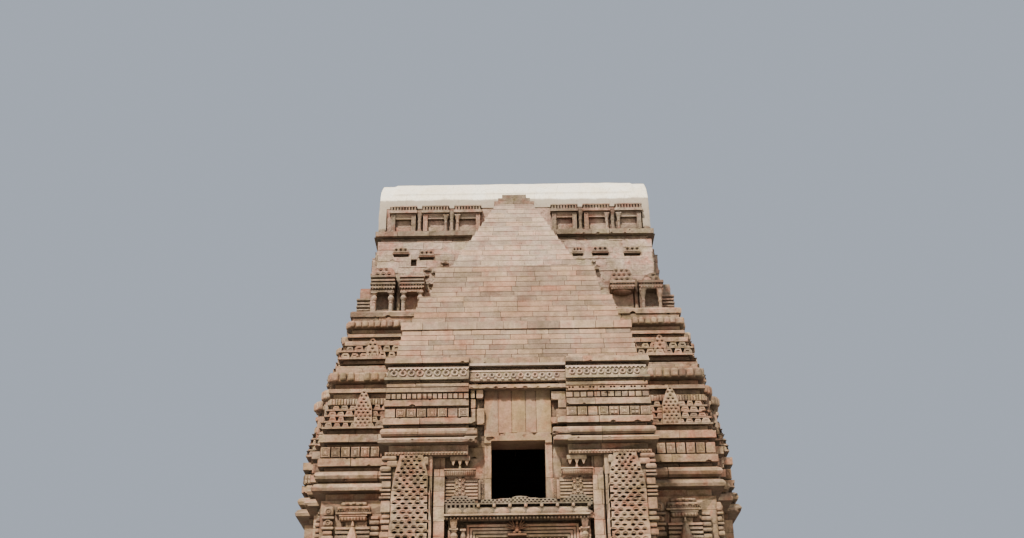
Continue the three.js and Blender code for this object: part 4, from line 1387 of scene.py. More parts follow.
# Corner dressing of the entrance block: ledges, rounded stones and plain blocks one over the
# other, and a row of beads under the great drip moulding.
# low, high, projection, rounding
CORNER_STONES = [
    (11.47, 11.62, 0.06, 0.05), (11.37, 11.45, 0.11, 0.02), (11.19, 11.35, 0.13, 0.065),
    (11.1, 11.16, 0.1, 0.015), (11.0, 11.06, 0.12, 0.015), (10.77, 10.97, 0.08, 0.03),
    (10.67, 10.73, 0.12, 0.015), (10.57, 10.63, 0.09, 0.015), (10.47, 10.53, 0.12, 0.015),
    (10.12, 10.44, 0.09, 0.02), (9.97, 10.08, 0.05, 0.03), (9.83, 9.93, 0.09, 0.02),
    (9.66, 9.8, 0.05, 0.03), (9.45, 9.62, 0.08, 0.04)]
# low, high, x from, x to
CORNER_LEAVES = [(11.32, 11.5, 3.16, 3.46), (11.5, 11.63, 3.2, 3.6), (11.36, 11.6, 2.36, 2.5)]
corner_parts = []
for side in (-1, 1):
    for z0, z1, out, soft in CORNER_STONES:
        out += draw.uniform(-0.012, 0.012)
        ledge = block("corner_ledge", *spans(side, 3.33, 3.5 + out), -PORTICO_Y - out, -7.4, z0, z1)
        corner_parts.append(soften(ledge, soft, 2))
    for z0, z1, x0, x1 in CORNER_LEAVES:
        leaf = block("corner_leaf", *spans(side, x0, x1), -8.2, -8.0, z0, z1)
        corner_parts.append(soften(leaf, 0.05, 2))
dress(joined("portico_corner_ledges", corner_parts))
dress(joined("soffit_beads", [
    *[block("bead_ledge", *spans(side, 1.34, 3.52), -8.16, -7.95, 11.645, 11.73)
      for side in (-1, 1)],
    repeat("beads", bead(0.07, 0.07, 0.075), row([
        line(-3.5, -8.17, -1.36, -8.17), line(1.36, -8.17, 3.5, -8.17)], 11.69, 0.083)),
]))


# Head of the door bay, between the two stacks: a band of lozenges, a deep groove, and a ragged
# ledge that shades the slabs. Odd blocks of an older moulding are left beside the slabs.
head = [
    centred("lozenge_band", 2.62, -7.99, -7.8, 13.745, 13.84),
    centred("thin_fillet", 2.62, -7.96, -7.8, 13.63, 13.66),
]
head.append(carve(centred("ragged_ledge", 2.62, -8.1, -7.8, 13.525, 13.63), lumps("breaks", [
    (-1.25 + 0.235 * k + draw.uniform(-0.05, 0.05), -8.12, 13.52 + draw.uniform(-0.02, 0.01),
     draw.uniform(0.08, 0.2)) for k in range(11)], 31)))
head.append(repeat("lozenges", bead(0.12, 0.05, 0.06), row(
    [line(-1.3, -7.995, 1.3, -7.995)], 13.79, 0.14)))
dress(joined("door_bay_head", head))
# x from, x to, z from, z to, front
ODD_BLOCKS = [
    (-1.265, -1.16, 13.29, 13.515, -7.99), (-1.11, -0.93, 13.28, 13.515, -8.0),
    (-1.26, -1.14, 13.01, 13.25, -7.98), (-1.26, -1.14, 12.73, 12.985, -7.97),
    (-1.1, -0.9, 12.53, 12.98, -8.0), (0.92, 1.3, 13.215, 13.45, -7.99),
    (1.1, 1.31, 12.98, 13.205, -8.01), (1.04, 1.31, 12.72, 12.96, -7.98),
    (0.9, 1.31, 12.54, 12.71, -8.0),
]
odd_blocks = joined("odd_blocks", [
    block("odd_block", x0, x1, front, -7.78, z0, z1) for x0, x1, z0, z1, front in ODD_BLOCKS])
carve(odd_blocks, lumps("breaks", [
    (-0.93, -8.0, 13.29, 0.07), (-1.1, -8.0, 12.98, 0.08), (-0.9, -8.0, 12.54, 0.09),
    (0.93, -8.0, 13.22, 0.12), (1.05, -7.98, 12.96, 0.07), (0.91, -8.0, 12.55, 0.08),
    (-1.14, -7.98, 13.01, 0.05)], 32))
dress(soften(odd_blocks, 0.01, 1))


# Door bay: jambs, lintels, shelf and window surround between the tall gables, of smaller stones
# than the walls. Above the window five tall plain slabs close an older opening.
BAY_FRONT = -7.82
door_bay_nodes = (
    "door_sill", "left_door_jamb", "right_door_jamb", "door_lintel", "door_frieze", "door_awning",
    "window_sill", "left_window_jamb", "right_window_jamb")
bay_run = [line(-2.6, BAY_FRONT, 2.6, BAY_FRONT)]
bay_stones = []
for number, node in enumerate(door_bay_nodes):
    part = copy_of(node + "_stones", node)
    low, high = (corner.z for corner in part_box(node))
    beds = [z for z in WALL_BEDS if low + 0.25 < z < high - 0.25]
    bay_stones.append(lay_in_stones(part, bay_run, [], low, high, beds, (0.5, 0.9), 80 + number))
bay_stones = settle(joined("door_bay_stones", bay_stones), 0.003)
carve(bay_stones, block("bead_rebate", -1.96, 1.96, -9, BAY_FRONT - 0.27, 9.86, 9.998))
carve(bay_stones, lumps("broken_shelf_end", [
    (1.93, -8.2, 9.98, 0.3), (1.98, -8.05, 10.05, 0.26), (-1.97, -8.2, 10.05, 0.12)], 37))
dress(bay_stones, *door_bay_nodes)

SLAB_EDGES = (-0.53, -0.16, 0.21, 0.5)
slabs = copy_of("closing_slab_stones", "closing_slabs")
carve(slabs, joined("slab_joints", [
    block("slab_joint", x - 0.005, x + 0.005, -9, -6, 12, 14) for x in SLAB_EDGES]))
soften(slabs, 0.012, 2)
lintel = copy_of("window_lintel_stone", "window_lintel")
carve(lintel, block("head", -0.724, 0.724, -9, -6.9, 11.9, 12.098))
carve(lintel, lumps("spalls", [
    (-0.42, -7.99, 12.3, 0.26), (-0.12, -7.985, 12.36, 0.3), (0.16, -7.99, 12.22, 0.26),
    (0.4, -7.985, 12.33, 0.3), (0.66, -7.985, 12.12, 0.24), (-0.7, -7.985, 12.15, 0.26),
    (-0.9, -7.93, 12.2, 0.1), (0.92, -7.93, 12.27, 0.14), (0.86, -7.95, 12.52, 0.16)], 34))
soften(lintel, 0.01, 2)
tooled_sandstone = stone_finish(
    "tooled_sandstone_slabs", ("9c8875", "ab9885", "b3a290"),
    [(0.0, "ead8cc"), (0.3, "f6efe6"), (0.55, "f2e9cc"), (0.8, "f8ddd2"), (1.0, "fff4ec")],
    dirt=0.3, painted_shade=0.85, bump=0.5, patchy=0.8)
# Painted shadow: the strip right under the ledge is darkened towards the ledge's cast shadow.
tree = tooled_sandstone.node_tree
shader = tree.nodes["Principled BSDF"]
height = parted(tree, add_node(tree, "ShaderNodeTexCoord").outputs["Object"])["Z"]
shaded = mixed(tree, ranged(tree, height, 13.22, 13.34, 0.0, 0.62),
               shader.inputs["Base Color"].links[0].from_socket, linear("3c3228"))
tree.links.new(shaded, shader.inputs["Base Color"])
dress(slabs, "closing_slabs", finish=tooled_sandstone, slot="ashlar")
dress(lintel, "window_lintel", finish=tooled_sandstone, slot="ashlar")


# Carving of the window bay: on both sides a panel of slats with a cluster of little eyes under a
# fluted roll, below the window a row of slots and petals. A pierced hump stands on that row, with
# a fret of pierced stone at either end.
def cluster(width, low, high):
    """An upright string of small carved bosses and eyes down the middle of a panel."""
    count = round((high - low) / 0.095)
    step = (high - low) / count

    def staggered(y, pairs_on, beside):
        return [
            (x, y, low + (k + 0.5) * step, 0.0, upright) for k in range(count)
            for x in ((-width * beside, width * beside) if k % 2 == pairs_on else (0.0,))]

    return joined("cluster", [
        centred("spine", width * 0.84, -0.035, 0.03, low, high),
        repeat("bosses", bead(0.085, 0.07, 0.075), staggered(-0.045, 1, 0.3)),
        repeat("rings", ring_motif(0.045, 0.013), staggered(-0.036, 0, 0.33)),
    ])


PANEL_X, SLOT_PITCH = 1.54, 0.41
panel = joined("window_panel", [
    slats(0.93, 10.5, 11.04, 6, 0.06),
    moved(cluster(0.27, 10.42, 11.04), -0.045),
    moved(pierced_gable(
        mirrored((0.44, 10.22), (0.4, 10.4), (0.16, 10.52)), 0.06, 0.115, 0.085), -0.02),
    centred("board", 0.94, -0.02, 0.1, 10.1, 11.06),
    moved(fluted_awning(0.84, 11.07, 11.26, 0.17, 0.05), -0.06),
    moved(finial(11.27, 11.48, 0.05), -0.03),
    centred("bracket", 0.52, -0.14, 0.1, 11.52, 11.63),
    repeat("bracket_leaves", tooth(0.12, 0.14, 0.12), [
        (x, 0.0, 11.53, 0.0, upright) for x in (-0.18, 0.0, 0.18)]),
])
window_carving = [repeat("window_panels", panel, [
    (side * PANEL_X, BAY_FRONT - 0.1, 0.0, 0.0, upright) for side in (-1, 1)])]
for side in (-1, 1):
    window_carving.append(repeat("side_bosses", carved_face(0.17, 0.13), [
        (side * 0.99, BAY_FRONT - 0.05, 10.56 + 0.145 * k, 0.0, upright) for k in range(4)]))
slot_row = block("slot_row", -1.9, 1.9, BAY_FRONT - 0.27, BAY_FRONT + 0.05, 10.06, 10.36)
for half, tall, x, pitch, numbers in (
        (0.165, 0.085, -0.03, SLOT_PITCH, range(-2, 5)), (0.036, 0.075, -1.82, 0.118, range(8))):
    carve(slot_row, repeat("slots", block("slot", -half, half, -0.16, 0.1, 0.0, tall), evenly(
        x, pitch, numbers, BAY_FRONT - 0.2, 10.235)))
window_carving += [
    repeat("petals", lobe(0.38, 0.22, 0.05), evenly(
        -0.03, SLOT_PITCH, range(-4, 5), BAY_FRONT - 0.265, 10.12)),
    repeat("slot_posts", bead(0.1, 0.08, 0.13), evenly(
        0.175, SLOT_PITCH, range(-3, 5), BAY_FRONT - 0.28, 10.27)),
    repeat("shelf_beads", bead(0.07, 0.12, 0.1), row(
        [line(-1.9, BAY_FRONT - 0.29, 1.82, BAY_FRONT - 0.29)], 9.945, 0.0935)),
]
for side in (-1, 1):
    capital = block("capital", *spans(side, 1.79, 1.59), BAY_FRONT - 0.3, BAY_FRONT + 0.05,
                    9.7, 9.93)
    window_carving.append(narrowed(
        capital, below, (0.6, 0.8, 1), (side * 1.69, BAY_FRONT, 9.7)))
dress(joined("window_carving", window_carving))
washed_stone = stone_finish(
    "washed_carved_stone", ("7c746a", "8f877c", "a0988d"), [(0.0, "d8d2cc"), (1.0, "fffaf4")],
    dirt=0.45, painted_shade=0.9)
carve(slot_row, lumps("breaks", [
    (1.9, BAY_FRONT - 0.25, 10.2, 0.22), (1.92, BAY_FRONT - 0.2, 10.34, 0.2)], 36))


def pierced_strip(name, outline, front, pitch, rows):
    """A strip of carving with rows of little eyes: (x of the first, how many, z) for each row."""
    eyes = [spot for x, count, z in rows for spot in evenly(x, pitch, range(count), front, z)]
    return carve(plate(name, outline, BAY_FRONT - 0.09, front),
                 repeat("eyes", eye_cutter(0.07, 0.044, 0.07), eyes))


hump = pierced_strip("hump", [
    (-1.0, 10.34), (0.98, 10.34), (0.97, 10.47), (0.8, 10.49), (0.55, 10.48), (0.42, 10.5),
    (0.3, 10.5), (0.2, 10.535), (0.06, 10.55), (-0.08, 10.545), (-0.18, 10.515), (-0.28, 10.49),
    (-0.45, 10.49), (-0.6, 10.465), (-0.8, 10.48), (-0.98, 10.455)],
    BAY_FRONT - 0.2, 0.104, [(-0.93, 19, 10.392), (-0.88, 18, 10.443), (-0.2, 5, 10.494)])
FRET = mirrored((0.4, 10.34), (0.39, 10.45), (0.22, 10.5), (0.2, 10.56))
frets = [
    pierced_strip("fret", [(middle + x, z) for x, z in FRET], BAY_FRONT - 0.24, 0.102, [
        (middle - 0.36, 8, 10.385), (middle - 0.305, 7, 10.437), (middle - 0.153, 4, 10.492)])
    for middle in (-PANEL_X, PANEL_X)]
dress(joined("pierced_hump", [slot_row, hump, *frets]), finish=washed_stone)


# Winged guardian over the door: a small high relief of redder stone, weathered to simple masses.
# It stands on a ledge before the frieze, with both wings spread.
FIGURE_X = -0.06


def ball(name, middle, size, segments=12):
    """A rounded mass of a carved figure or roof."""
    return shaped(name, bpy.ops.mesh.primitive_uv_sphere_add, segments=segments, ring_count=8,
                  radius=0.5, location=middle, scale=size)


def feather(side, rise, length, low):
    """One flat feather of a spread wing."""
    vane = block("feather", 0.0, length, -0.03, 0.03, -0.022, 0.022)
    narrowed(vane, lambda middle, normal: normal.x > 0.9, (1, 0.5, 0.4), (length, 0, 0))
    vane.rotation_euler = (0, -rise if side > 0 else rise - math.pi, 0)
    vane.location = (FIGURE_X + side * 0.05, BAY_FRONT - 0.1, low)
    return in_place(vane)


# name, beside the middle, before the wall, height, size
MASSES = [
    ("chest", 0.0, 0.12, 9.74, (0.13, 0.1, 0.15)), ("belly", 0.0, 0.12, 9.66, (0.12, 0.1, 0.12)),
    ("head", 0.0, 0.14, 9.85, (0.08, 0.08, 0.095)), ("hair", 0.0, 0.12, 9.9, (0.07, 0.07, 0.05)),
    ("left_knee", -0.07, 0.15, 9.6, (0.09, 0.1, 0.08)),
    ("right_knee", 0.07, 0.15, 9.6, (0.09, 0.1, 0.08)),
    ("left_hand", -0.08, 0.15, 9.76, (0.05, 0.06, 0.09)),
    ("right_hand", 0.08, 0.15, 9.76, (0.05, 0.06, 0.09)),
]
figure = joined("winged_figure", [
    *[ball(name, (FIGURE_X + beside, BAY_FRONT - before, z), size)
      for name, beside, before, z, size in MASSES],
    *[feather(side, 0.25 + 0.3 * k, 0.26 - 0.02 * k, 9.7 + 0.02 * k)
      for side in (-1, 1) for k in range(4)],
    block("ledge", -0.3, 0.18, BAY_FRONT - 0.2, BAY_FRONT + 0.12, 9.52, 9.57),
])
red_sandstone = stone_finish(
    "red_sandstone", ("7e604e", "917360", "a08472"), [(0.0, "d8d0c8"), (1.0, "fff4ea")],
    dirt=0.4, painted_shade=0.85)
dress(figure, finish=red_sandstone)


# Head of the door under the shelf: flat bands one within the other run across and turn down at
# both ends, with a row of little figures under them and slim pilasters outside.
frames = []
FRAME_LEFT, FRAME_RIGHT, FRAME_TOP = -1.36, 1.54, 9.84
for k in range(4):
    x0, x1, z1 = FRAME_LEFT + 0.08 * k, FRAME_RIGHT - 0.08 * k, FRAME_TOP - 0.085 * k
    front = BAY_FRONT - 0.075 + 0.018 * k
    frames += [
        block("band", x0, x1, front, BAY_FRONT + 0.1, z1 - 0.06, z1),
        block("band", x0, x0 + 0.06, front, BAY_FRONT + 0.1, 9.2, z1 - 0.06),
        block("band", x1 - 0.06, x1, front, BAY_FRONT + 0.1, 9.2, z1 - 0.06),
    ]
frames.append(repeat("figures", bead(0.075, 0.1, 0.16), row(
    [line(-1.0, BAY_FRONT - 0.02, 1.18, BAY_FRONT - 0.02)], 9.42, 0.11)))
for side, slim_x in ((-1, -1.45), (1, 1.61)):
    frames.append(ball_column(side * 1.69, BAY_FRONT - 0.12, 8.9, 9.71, 0.09))
    frames.append(ball_column(slim_x, BAY_FRONT - 0.1, 8.9, 9.7, 0.06))
dress(joined("door_head_frames", frames))


# Storey over the terrace: a plain wall of rough stones that were once plastered, with gable
# blocks over slots, and small pavilions along its foot.
STOREY_TOP, VAULT_BASE, SILL = 21.073, 21.553, 21.43
storey = shrine_outline((4.64, 2.68, 4.8, 1.95, 4.96, 1.5, 2.83, 2.9, 2.98, 1.95))
storey_wall = prism("storey_wall", storey, TERRACE, STOREY_TOP)
core = prism("core", grown(storey, -0.5), TERRACE - 0.1, STOREY_TOP + 0.1)
carve(core, block("lining", -2.95, 2.95, -1.6, 1.6, 17, 22))
carve(storey_wall, core)
carve(storey_wall, block("well", -2.7, 2.7, -1.35, 1.35, 17, 22))
draw = random.Random(5)
holes = []
for start, end in runs_of(storey):
    direction, _, turn = heading(start, end)
    length = (end - start).length
    for _ in range(int(length * 1.3)):
        spot = start + direction * draw.uniform(0.3, max(0.31, length - 0.3))
        holes.append((spot.x, spot.y, draw.uniform(19.9, 20.9), turn, (
            draw.uniform(0.12, 0.4), draw.uniform(0.06, 0.16), draw.uniform(0.05, 0.16))))
holes = [hole for k, hole in enumerate(holes) if all(
    (Vector(hole[:3]) - Vector(other[:3])).length > 0.5 for other in holes[:k])]
# x, z, width, height of the slots under the gable blocks, and of a lost stone's hole
SLOTS = [
    (-3.84, 20.44, 0.52, 0.1), (-2.97, 20.32, 0.5, 0.1), (2.88, 20.39, 0.55, 0.1),
    (3.96, 20.37, 0.55, 0.1), (2.12, 20.38, 0.35, 0.08), (-3.4, 20.17, 0.2, 0.26)]
holes = [hole for hole in holes if hole[1] > -2.6]
holes += [(x, -2.68, z, 0.0, (width, 0.36, tall)) for x, z, width, tall in SLOTS]
mortar = prism("mortar", grown(storey, -0.012), TERRACE, 20.96)
carve(mortar, prism("core", grown(storey, -0.3), TERRACE - 0.1, 21.2))
for body in (storey_wall, mortar):
    carve(body, repeat("lost_stones", block("lost_stone", *UNIT), holes))


def under_lip():
    """The deep groove that runs round the wall head under the crown's lip."""
    groove = prism("groove", grown(storey, 0.5), 20.97, 21.125)
    return carve(groove, prism("kept", grown(storey, -0.09), 20.9, 21.2))


carve(storey_wall, under_lip())
storey_beds = [TERRACE]
while storey_beds[-1] < STOREY_TOP - 0.4:
    storey_beds.append(storey_beds[-1] + draw.uniform(0.16, 0.27))
lay_in_stones(storey_wall, runs_of(storey), corners_of(storey), TERRACE, STOREY_TOP,
              storey_beds[1:], (0.3, 0.75), 6)
settle(storey_wall, 0.014)
wear(storey_wall, 0.9, 0.05, 0.2, 174)
plastered_sandstone = stone_finish(
    "plastered_sandstone", ("b6a9a0", "c9bcb3", "d6cbc2"),
    [(0.0, "dcd6d0"), (0.3, "f0e9e0"), (0.6, "faeee4"), (0.85, "fbe6dd"), (1.0, "fffdf8")],
    dirt=0.4, painted_shade=0.85, bump=1.6)
lime_mortar = stone_finish(
    "lime_mortar", ("b1a595", "c2b6a6", "cdc3b3"), [(0.0, "f2ede6"), (1.0, "fffaf2")],
    dirt=0.4, painted_shade=0.8, bump=1.6)
dress(mortar, finish=lime_mortar, slot="lime_plaster")
rough_sandstone = stone_finish(
    "rough_sandstone", ("a19184", "b6a699", "c5bbb0"),
    [(0.0, "c6c1bc"), (0.3, "e4e0da"), (0.6, "f6ebe2"), (0.85, "fadfd6"), (1.0, "fffdf8")],
    dirt=0.5, painted_shade=0.85, bump=1.6)


# Small pavilions along the foot of the storey. Each has a seat and thin slabs under a carved roof,
# most have two posts, and no two beside each other on the front are alike.
PAVILION_HALF, PAVILION_FRONT = 0.365, -0.44
TALL_SLABS = ((1.07, 1.14), (1.19, 1.27), (1.32, 1.4), (1.45, 1.53))
LOW_SLABS = ((1.0, 1.08), (1.13, 1.24))
# outline over the slabs, depth, pitch and rise of its eyes
ROOFS = {
    "block": (mirrored((0.365, 0.0), (0.365, 0.2), (0.265, 0.32)), 0.34, 0.19, 0.12),
    "gable": ([(-0.365, 0.0), (0.365, 0.0), (0.345, 0.26), (0.265, 0.44), (-0.265, 0.46),
               (-0.345, 0.26)], 0.34, 0.17, 0.12),
    "mound": ([(-0.325, 0.0), (0.345, 0.0), (0.305, 0.14), (0.14, 0.3), (0.0, 0.32),
               (-0.2, 0.2)], 0.3, 0.2, 0.13),
}


def pavilion(roof, posts, slabs):
    """A pavilion before a wall at y = 0: seat, two posts, beam, thin slabs and a carved roof."""
    half, front = PAVILION_HALF, PAVILION_FRONT
    base, top = TERRACE, TERRACE + slabs[-1][1]
    parts = [
        centred("seat", 2 * half - 0.2, front + 0.12, 0.05, base, base + 0.34),
        centred("sill", 2 * half + 0.04, front - 0.05, 0.05, base, base + 0.08),
        centred("beam", 2 * half, front - 0.02, 0.05, base + 0.93, base + 1.0),
        centred("back", 2 * half, -0.1, 0.05, base, top),
        centred("core", 2 * half - 0.04, front + 0.04, 0.05, base + 0.97, top - 0.02),
    ]
    post = {"ball": ball_column, "flared": flared_column}.get(posts)
    if post:
        parts += [post(x, front + 0.09, base + 0.06, base + 0.94, 0.085)
                  for x in (-half + 0.09, half - 0.09)]
    else:
        parts.append(ball("hanging_lotus", (0, front + 0.2, base + 0.93), (0.62, 0.36, 0.26)))
    for k, (low, high) in enumerate(slabs):
        out = 0.05 if k % 2 else 0.035
        parts.append(soften(centred(
            "slab", 2 * (half + out), front - out, 0.05, base + low, base + high), 0.015, 1))
    edge = [line(-half, front - 0.02, half, front - 0.02)]
    between_slabs = base + (slabs[0][1] + slabs[1][0]) / 2
    parts += [
        repeat("teeth", tooth(0.06, 0.05, 0.05), row(edge, base + slabs[0][0], 0.09)),
        repeat("studs", bead(0.05, 0.06, 0.05), row(edge, between_slabs, 0.09)),
    ]
    if roof == "dome":
        parts.append(ball("roof", (-0.06, front + 0.2, top + 0.03), (0.42, 0.42, 0.42), 14))
        parts.append(block("rubble", 0.02, half - 0.04, front + 0.12, 0.05, top, top + 0.14))
    else:
        outline, *sizes = ROOFS[roof]
        parts.append(moved(pierced_gable([(x, top + z) for x, z in outline], *sizes), -0.04))
    if roof == "mound":
        parts.append(ball("shard", (-0.1, front + 0.1, top + 0.02), (0.3, 0.2, 0.26), 8))
    return joined("pavilion", parts)


pavilion_kinds = {
    ("block", "ball", TALL_SLABS): [
        (-4.36, -2.68, 0, 0, upright),
        *[(x, 2.98, 0, math.pi, upright) for x in (-1.47, 0.49)],
        *[(side * 4.96, 0, 0, side * math.pi / 2, upright) for side in (-1, 1)]],
    ("dome", "ball", TALL_SLABS): [(-3.4, -2.68, 0, 0, upright)],
    ("gable", "lost", LOW_SLABS): [(3.52, -2.68, 0, 0, upright)],
    ("mound", "flared", LOW_SLABS): [(4.46, -2.68, 0, 0, upright)],
    ("gable", "flared", TALL_SLABS): [
        *[(x, 2.68, 0, math.pi, upright) for x in (-4.1, 4.1)],
        *[(x, 2.98, 0, math.pi, upright) for x in (-0.49, 1.47)],
        *[(side * 4.96, y, 0, side * math.pi / 2, upright) for side in (-1, 1) for y in (-1, 1)]],
}
pavilions = joined("pavilions", [
    *[repeat("pavilions", pavilion(*kind), places) for kind, places in pavilion_kinds.items()],
    *[lathe("pilaster", (x, -2.76), [
        (TERRACE, 0.07), (18.6, 0.065), (18.9, 0.06), (18.95, 0.08), (19.4, 0.06)], 8)
      for x in (-3.87, 3.99)],
])
dress(wear(pavilions, 1.0, 0.05, 0.16, 53), finish=rough_sandstone)
gable_block = joined("gable_block", [
    centred("slot_head", 0.58, -0.06, 0.02, 0.05, 0.09),
    moved(pierced_gable(mirrored((0.27, 0.09), (0.25, 0.19), (0.13, 0.26)), 0.07, 0.16, 0.16),
          -0.01),
])
dress(repeat("gable_blocks", gable_block, [
    *[(x, -2.68, z, 0, (width / 0.54, 1.0, 1.0)) for x, z, width, tall in SLOTS if tall < 0.2],
    *[(x, 2.68, 20.35, math.pi, upright) for x in (-3.9, 3.9)],
    *[(x, 2.98, 20.35, math.pi, upright) for x in (-1.4, -0.5, 0.5, 1.4)],
    *[(side * 4.96, y, 20.35, side * math.pi / 2, upright) for side in (-1, 1)
      for y in (-0.9, 0.0, 0.9)],
]), finish=rough_sandstone)

# Rough stones of the wall's core stand beside the facing, where older carving has fallen away.
draw = random.Random(17)
rubble = repeat("rubble_stones", bead(1.0, 1.0, 1.0), [
    (side * draw.uniform(2.35, 3.0), -2.7 + draw.uniform(-0.05, 0.12),
     18.9 + 0.11 * k + draw.uniform(-0.03, 0.03), draw.uniform(0, 3),
     (draw.uniform(0.2, 0.4), draw.uniform(0.2, 0.34), draw.uniform(0.1, 0.2)))
    for side in (-1, 1) for k in range(12)])
dress(rubble, finish=rough_sandstone)
dress(storey_wall, "pavilion_storey", finish=plastered_sandstone)

# Cornice of the crown: a course of grey stones on the wall head, and round it a thinner course
# that stands out as a lip and keeps the rain off the wall.
crown_slab = copy_of("crown_cornice_stones", "crown_cornice")
crown_plan = [(-4.54, -2.48), (4.54, -2.48), (4.54, 2.48), (-4.54, 2.48)]
core = prism("core", grown(crown_plan, -0.45), 20.9, 21.7)
carve(core, block("lining", -3.55, 3.55, -1.6, 1.6, 20, 22))
carve(crown_slab, core)
carve(crown_slab, under_lip())
for side in (-1, 1):
    carve(crown_slab, block("niche_floor", -4.44, 4.44, *spans(side, 2.33, 3), SILL, 21.7))
lay_in_stones(crown_slab, runs_of(crown_plan), corners_of(crown_plan), STOREY_TOP, VAULT_BASE,
              [21.18, 21.36], (0.5, 1.1), 12)
settle(crown_slab, 0.008)
wear(crown_slab, 0.6, 0.05, 0.2, 173)
dress(crown_slab, "crown_cornice", finish=grey_stone, slot="grey_stone")
lip_plan = [(-4.72, -2.81), (4.72, -2.81), (4.72, 2.81), (-4.72, 2.81)]
LIP_LOW, LIP_HIGH = 21.13, 21.31
lip = prism("crown_lip", lip_plan, LIP_LOW, LIP_HIGH)
carve(lip, prism("core", grown(lip_plan, -0.5), 21, 21.5))
lay_in_stones(lip, runs_of(lip_plan), corners_of(lip_plan), LIP_LOW, LIP_HIGH, [], (0.6, 1.3), 13)
wear(settle(lip, 0.008), 0.6, 0.04, 0.15, 175)
dress(lip, finish=grey_stone, slot="grey_stone")


# Barrel-vaulted crown: a masonry vault under a thick coat of lime plaster, with thicker rims at
# both ends and a thicker coat along the ridge, its edges rounded by rain.
VAULT_CENTRE, VAULT_RADIUS = 21.89, 2.45


def half_barrel(name, radius, x0, x1, base=VAULT_BASE):
    """A solid half barrel along x that stands on upright sides."""
    barrel = shaped(name, bpy.ops.mesh.primitive_cylinder_add, vertices=72, radius=radius,
                    depth=x1 - x0, location=((x0 + x1) / 2, 0, VAULT_CENTRE),
                    rotation=(0, math.radians(90), 0))
    select_faces(cut_off(barrel, (0, 0, VAULT_CENTRE), (0, 0, -1)), below)
    extrude((0, 0, base - VAULT_CENTRE))
    return close(barrel)


plaster = half_barrel("crown_plaster", VAULT_RADIUS, -4.68, 4.68)
ridge = half_barrel("ridge", VAULT_RADIUS + 0.045, -4.2, 4.2, 22.9)
carve(ridge, block("below_ridge", -5, 5, -3, 3, 20, 23.15))
carve(plaster, ridge, "UNION")
carve(plaster, half_barrel("hollow", VAULT_RADIUS - 0.9, -4.3, 4.3, 21.4))
for side in (-1, 1):
    carve(plaster, half_barrel(
        "rim_hollow", VAULT_RADIUS - 0.46, *spans(side, 4.35, 5), 21.4))
finish_with(plaster, "REMESH", mode="VOXEL", voxel_size=0.055)
flow = bpy.data.textures.new("plaster_flow", "CLOUDS")
flow.noise_scale = 0.7
flow.noise_depth = 3
finish_with(plaster, "DISPLACE", texture=flow, strength=0.045, mid_level=0.62)
NICHE_PITCH, NICHE_HALF, POST = 1.107, 0.42, 0.14
NICHE_BAND, BAND_WIDTH = 1.12, 8.84
niche_middles = [(i - 3.5) * NICHE_PITCH for i in range(8)]
niche_places = [
    (x + 0.06, -VAULT_RADIUS, 0.0, 0.0, upright) for x in niche_middles if abs(x) > 0.9]
niche_places += [(x, VAULT_RADIUS, 0.0, math.pi, upright) for x in niche_middles]
carve(plaster, repeat("niche_band", centred("band", NICHE_BAND, -0.3, 0.1, 21.5, 22.43), [
    (0.0, y, 0.0, turn, (BAND_WIDTH / NICHE_BAND, 1.0, 1.0))
    for y, turn in ((-VAULT_RADIUS, 0.0), (VAULT_RADIUS, math.pi))]))


def plaster_finish(name):
    """Old lime plaster: cream where rain washes it, greyer below a ragged line low down, finely
    cracked.
    """
    finish, tree, shader, place = new_finish(name, 0.9, 0.2)
    patches = noise(tree, place, 1.3, 6.0, 0.6)
    colour = ramp(tree, patches, [(0.36, "f9edd3"), (0.5, "fff6e0"), (0.62, "fffbea")])
    ragged = add_node(tree, "ShaderNodeMath", {
        0: patches, 1: 0.22, 2: parted(tree, place)["Z"]}, operation="MULTIPLY_ADD")
    low_down = ranged(tree, ragged.outputs["Value"], 22.91, 22.99, 0.8, 0.0)
    colour = mixed(tree, low_down, colour, linear("857565"))
    drawn_down = add_node(tree, "ShaderNodeMapping", {"Vector": place, "Scale": (3.2, 3.2, 0.4)})
    streaks = noise(tree, drawn_down.outputs["Vector"], 5.0, 6.0, 0.7)
    colour = mixed(tree, ranged(tree, streaks, 0.5, 0.72, 0.0, 0.42), colour, linear("857663"))
    cells = add_node(tree, "ShaderNodeTexVoronoi", {"Vector": place, "Scale": 1.6},
                     feature="DISTANCE_TO_EDGE")
    cracks = ranged(tree, cells.outputs["Distance"], 0.0, 0.012, 0.45, 0.0)
    tree.links.new(mixed(tree, cracks, colour, linear("7a6856")), shader.inputs["Base Color"])
    rough = add_node(tree, "ShaderNodeBump", {
        "Height": noise(tree, place, 4.0, 8.0, 0.65), "Distance": 0.04, "Strength": 0.8})
    tree.links.new(rough.outputs["Normal"], shader.inputs["Normal"])
    return finish


lime_plaster = plaster_finish("old_lime_plaster")
take(plaster)
bpy.ops.object.shade_smooth_by_angle(angle=math.radians(50))
dress(plaster, "vault", "ridge_plaster", "left_gable_arch", "right_gable_arch",
      finish=lime_plaster, slot="lime_plaster")


# Row of stone niches round the foot of the vault: posts, some turned and some square, under a
# cornice with square dentil holes between two fillets. Between them stand slim balusters.
dress(joined("niche_wall", [
    block("niche_wall", -4.42, 4.42, *spans(side, 2.36, 2.2), SILL, 22.44)
    for side in (-1, 1)]), finish=plastered_sandstone)


